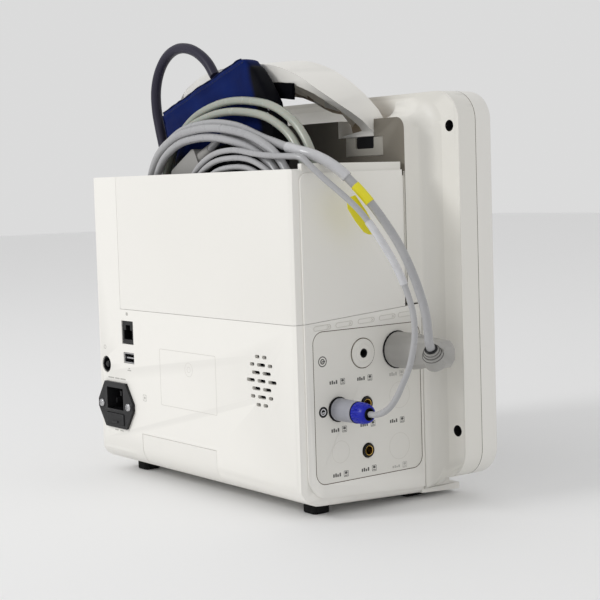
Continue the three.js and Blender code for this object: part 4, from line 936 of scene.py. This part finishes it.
outline_bm(circle(120, 85.8, 1.7, 24), circle(120, 85.8, 1.3, 24), on_rear, -0.02, 0.05, bm)
for x0, x1 in ((90, 98), (99.2, 106), (107.4, 116.4)):
    plate_bm(rrect_pts(x0, x1, 61.6, 62.6, 0.3, 2), on_rear, 0.05, bm)
for x0, x1 in ((96, 101), (104, 109)):
    plate_bm(rrect_pts(x0, x1, 20.4, 21.3, 0.3, 2), on_rear, 0.05, bm)
from_bm("rear_port_marks", bm, M["ink_soft"])


def frame_band(name, y0, y1, out_, inn, mat_):
    """A narrow band round the display's rounded outline."""
    bm = bmesh.new()
    o = rrect_pts(-165 - out_, 165 + out_, 1.5 - out_, 271.5 + out_, 21 + out_, 12)
    i_ = rrect_pts(-165 + inn, 165 - inn, 1.5 + inn, 271.5 - inn, 21 - inn, 12)
    rings = [[bm.verts.new(W(x, y, z)) for x, z in pts] for pts, y in ((o, y0), (o, y1), (i_, y1), (i_, y0))]
    rings.append(rings[0])
    n = len(o)
    for p, q in zip(rings, rings[1:]):
        for k in range(n):
            bm.faces.new((p[k], p[(k + 1) % n], q[(k + 1) % n], q[k]))
    bmesh.ops.recalc_face_normals(bm, faces=bm.faces)
    return from_bm(name, bm, mat_)


frame_band("display_seam", -134.35, -134.75, 0.03, 0.9, M["seam"])
# black plate behind the notch of each retainer plate: painted shadow of the pocket seen through it
for sx, tag in ((-1, "right"), (1, "left")):
    a, b = sorted((sx * 79.6, sx * 100.8))
    from_bm("notch_painted_shadow_" + tag, plate_bm(rrect_pts(a, b, 232.9, 242.3, 1.2, 3), lambda u, v, w: W(u, -99.95 + w, v), 0.3), M["black"])

# ------------------------------------------------------------------ bands, sleeves and tag on the cables
def stretch(line, test):
    return [p for p in line if test(p.x * 1000, p.y * 1000 - YS, p.z * 1000 - ZO)]


e_free = ecg_line[: len(ECG_ROUTE) * 12]
s_free = spo2_line[: len(SPO2_ROUTE) * 12]
band = stretch(e_free, lambda x, y, z: 196.5 < z < 208.5 and x < -140)
yellow_band = from_bm("ecg_cable_band", sleeve_bm(band, 3.3, 3.02, 28), M["yellow"])
over = stretch(e_free, lambda x, y, z: -147 < x < -104)
ecg_sleeve = from_bm("ecg_cable_sleeve", sleeve_bm(over, 3.75, 3.35, 28), M["sleeve"])
s_part = stretch(s_free, lambda x, y, z: 143 < z < 186 and x < -150)
spo2_sleeve = from_bm("spo2_cable_sleeve", sleeve_bm(s_part, 2.6, 2.3, 26), M["sleeve"])
to_cam = (cam.matrix_world.translation - s_part[len(s_part) // 2]).normalized()
bm = bmesh.new()
for i in range(8, len(s_part) - 8, 3):
    p = s_part[i]
    t = (s_part[i + 1] - s_part[i - 1]).normalized()
    nrm = (to_cam - t * to_cam.dot(t)).normalized()
    sd = t.cross(nrm)
    ln = 1.5 if (i // 3) % 3 else 0.8
    off = (-0.45, 0.45)[(i // 3) % 2]
    plate_bm(rrect_pts(-ln / 2, ln / 2, off - 0.3, off + 0.3, 0.15, 2), lambda u, v, w, p=p, t=t, nrm=nrm, sd=sd: p + (t * u + sd * v + nrm * (2.14 + w)) / 1000, 0.1, bm)
spo2_marks = from_bm("spo2_sleeve_marks", bm, M["print_and_groove_shade"])
bm = plate_bm([(-29.0, 200.1), (-29.6, 193.2), (-35.7, 184.8), (-42.7, 177.3), (-46.9, 175.5), (-52.5, 175.3), (-52.2, 180.2), (-45.3, 191.1), (-36.2, 201.8)], lambda u, v, w: W(-152 - w, u, v), 0.4)
tag_piece = from_bm("spo2_cable_tag", bm, M["yellow"])

# ------------------------------------------------------------------ cuff
CUFF = [(82, 269), (-27, 302.6), (-34, 301.6), (-44, 293), (-53, 282), (-62, 268), (-67, 252), (-68, 232), (-62, 178), (38, 150), (52, 190), (66, 226), (76, 250)]
bm = bmesh.new()
cx_, cz_ = 5, 230
inner = [(x + (cx_ - x) * 0.012, z + (cz_ - z) * 0.012) for x, z in CUFF]
r0 = [bm.verts.new(W(x, -34.9, z)) for x, z in inner]
r1 = [bm.verts.new(W(x, -49.6, z)) for x, z in inner]
bm.faces.new(r0)
bm.faces.new(list(reversed(r1)))
for i in range(len(r0)):
    j = (i + 1) % len(r0)
    bm.faces.new((r0[i], r0[j], r1[j], r1[i]))
bmesh.ops.recalc_face_normals(bm, faces=bm.faces)
me = bpy.data.meshes.new("cuff_form")
bm.to_mesh(me)
bm.free()
form = link(bpy.data.objects.new("cuff_form", me))
mod = form.modifiers.new("remesh", "REMESH")
mod.mode = "VOXEL"
mod.voxel_size = 0.0024
mod = form.modifiers.new("smooth", "SMOOTH")
mod.factor = 0.5
mod.iterations = 4
bpy.context.view_layer.update()
dg = bpy.context.evaluated_depsgraph_get()
cm = bpy.data.meshes.new_from_object(form.evaluated_get(dg))
bpy.data.objects.remove(form)
cm.name = "cuff_roll"
edge_a, edge_b = Vector((82, 0, 269)), Vector((-27, 0, 302.6))
along = (edge_b - edge_a).normalized()
for v, nrm in zip(cm.vertices, [n.vector.copy() for n in cm.vertex_normals]):
    b = Vector((v.co.x * 1000, v.co.y * 1000 - YS, v.co.z * 1000 - ZO))
    s_ = (Vector((b.x, 0, b.z)) - edge_a).dot(along)
    d_ = (Vector((b.x, 0, b.z)) - edge_a).cross(along).length
    wave = noise.noise(Vector((s_ * 0.045, d_ * 0.02, b.y * 0.05))) * 0.75 + noise.noise(Vector((s_ * 0.16, d_ * 0.07, b.y * 0.1))) * 0.28
    fold = -0.55 * math.exp(-((d_ - 9.0) / 1.6) ** 2) - 0.4 * math.exp(-((b.x + 130.6 - 0.32 * b.z) / 2.2) ** 2)
    v.co += nrm * ((wave + fold - 0.35) / 1000)
cuff = link(bpy.data.objects.new("cuff_roll", cm))
cm.materials.clear()
cm.materials.append(M["cuff"])
for poly in cm.polygons:
    poly.use_smooth = True
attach(cuff, "monitor")
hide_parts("cuff")
bvh = BVHTree.FromPolygons([v.co.copy() for v in cm.vertices], [tuple(p.vertices) for p in cm.polygons])


def face_point(x, z):
    hit = bvh.ray_cast(W(x, -10, z), Vector((0, -1, 0)))
    return hit[0] if hit[0] else W(x, -35, z)


def near_point(x, y, z, push):
    loc, nrm, _, _ = bvh.find_nearest(W(x, y, z))
    return loc + nrm * (push / 1000)


# bound edge along the top of the cuff, and the row of stitches under it
edge_pts = []
for i in range(23):
    t = i / 22
    edge_pts.append(near_point(79.5 + (-27 - 79.5) * t, -36.2, 269.6 + (302.2 - 269.6) * t + 0.5, 0.15))
edge_roll = tube("cuff_bound_edge", edge_pts, 0.85, M["cuff_edge"], res=4, sides=2)
side_pts = [near_point(x, -36.2, z, 0.15) for x, z in ((80.6, 266), (78.6, 258), (75.6, 249), (71, 238), (66, 226), (60, 211), (54, 196))]
edge_side = tube("cuff_bound_side", side_pts, 0.85, M["cuff_edge"], res=4, sides=2)
bm = bmesh.new()
nst = 34
for i in range(nst):
    t = (i + 0.5) / nst
    for drop in (4.4,):
        x, z = 78 + (-30 - 78) * t - 0.30 * drop, 269.8 + (302.4 - 269.8) * t - 0.956 * drop
        p = face_point(x, z)
        q = face_point(x + along.x * 1.9, z + along.z * 1.9)
        d = (q - p).normalized()
        u_ = Vector((0, 1, 0))
        sd = d.cross(u_).normalized()
        nn = sd.cross(d)
        pts8 = []
        for f, r in ((0, 0.12), (0.25, 0.3), (0.75, 0.3), (1, 0.12)):
            c = p + (q - p) * f + u_ * 0.00018
            pts8.append([bm.verts.new(c + (sd * math.cos(a) + nn * math.sin(a)) * (r / 1000)) for a in [math.pi * 2 * k / 6 for k in range(6)]])
        for a, b in zip(pts8, pts8[1:]):
            for k in range(6):
                bm.faces.new((a[k], a[(k + 1) % 6], b[(k + 1) % 6], b[k]))
        bm.faces.new(list(reversed(pts8[0])))
        bm.faces.new(pts8[-1])
bmesh.ops.recalc_face_normals(bm, faces=bm.faces)
from_bm("cuff_stitches", bm, M["thread"])
# strap end tucked under the grip
bm = bmesh.new()
rows = []
for i in range(13):
    t = i / 12
    x = -33 - 34 * t
    yb = -47.5 - 6.2 * math.sin(math.pi * min(1, 0.25 + t * 0.75) * 0.5) + 0.5 * math.sin(t * 7)
    z0, z1 = 270.5 + 1.2 * math.sin(t * 4), 284.5 - 3.2 * t
    rows.append([bm.verts.new(W(x, yb - 1.1, z0)), bm.verts.new(W(x, yb - 1.4, (z0 + z1) / 2)), bm.verts.new(W(x, yb - 1.1, z1)), bm.verts.new(W(x, yb + 1.1, z1)), bm.verts.new(W(x, yb + 1.4, (z0 + z1) / 2)), bm.verts.new(W(x, yb + 1.1, z0))])
for a, b in zip(rows, rows[1:]):
    for k in range(6):
        bm.faces.new((a[k], a[(k + 1) % 6], b[(k + 1) % 6], b[k]))
bm.faces.new(list(reversed(rows[0])))
bm.faces.new(rows[-1])
bmesh.ops.bevel(bm, geom=bm.edges[:], offset=0.0005, segments=2, profile=0.6, affect="EDGES", clamp_overlap=True)
bmesh.ops.recalc_face_normals(bm, faces=bm.faces)
from_bm("cuff_strap_end", bm, M["cuff_dark"], smooth_angle=60)
# pale plain marks printed on the dark end
bm = bmesh.new()
for x, z, w_, h_ in ((-57.4, 267, 3.6, 1.3), (-59.6, 263.4, 3.0, 1.2), (-60.6, 259.6, 4, 1.4), (-62.2, 256, 2.6, 1.1)):
    p0 = face_point(x, z)
    plate_bm(rrect_pts(-w_ / 2, w_ / 2, -h_ / 2, h_ / 2, 0.4, 3), lambda u, v, w, p0=p0: p0 + Vector((0.86 * u - 0.5 * v * 0, 0, 0.5 * u + v)) / 1000 + Vector((0, (0.1 + w) / 1000, 0)), 0.15, bm)
from_bm("cuff_plain_marks", bm, M["white_print"])


# ------------------------------------------------------------------ stage and light
def stage_material():
    mat = bpy.data.materials.new("floor_pale")
    mat.use_nodes = True
    p = principled(mat)
    p.inputs["Base Color"].default_value = (0.9, 0.9, 0.9, 1)
    p.inputs["Roughness"].default_value = 0.75
    return mat


bm = bmesh.new()
bmesh.ops.create_grid(bm, x_segments=2, y_segments=2, size=6)
fl = bpy.data.meshes.new("floor")
bm.to_mesh(fl)
bm.free()
floor = link(bpy.data.objects.new("floor", fl))
fl.materials.append(stage_material())

world = bpy.data.worlds.new("studio")
world.use_nodes = True
world.node_tree.nodes["Background"].inputs["Color"].default_value = (1.0, 1.0, 1.0, 1)
world.node_tree.nodes["Background"].inputs["Strength"].default_value = 0.71
scene.world = world


def area(name, at, target, size, power):
    ld = bpy.data.lights.new(name, "AREA")
    ld.shape = "DISK"
    ld.size = size
    ld.energy = power
    lo = link(bpy.data.objects.new(name, ld))
    lo.location = at
    lo.rotation_mode = "QUATERNION"
    lo.rotation_quaternion = (Vector(target) - Vector(at)).to_track_quat("-Z", "Y")
    return lo


area("key", (0.7, 2.3, 1.5), (0, 0, 0.15), 0.8, 24)
area("fill", (-2.6, -0.6, 1.1), (0, 0, 0.15), 1.0, 0.6)

scene.view_settings.view_transform = "Standard"
scene.view_settings.look = "None"
scene.view_settings.exposure = 0.0
scene.view_settings.gamma = 1.0
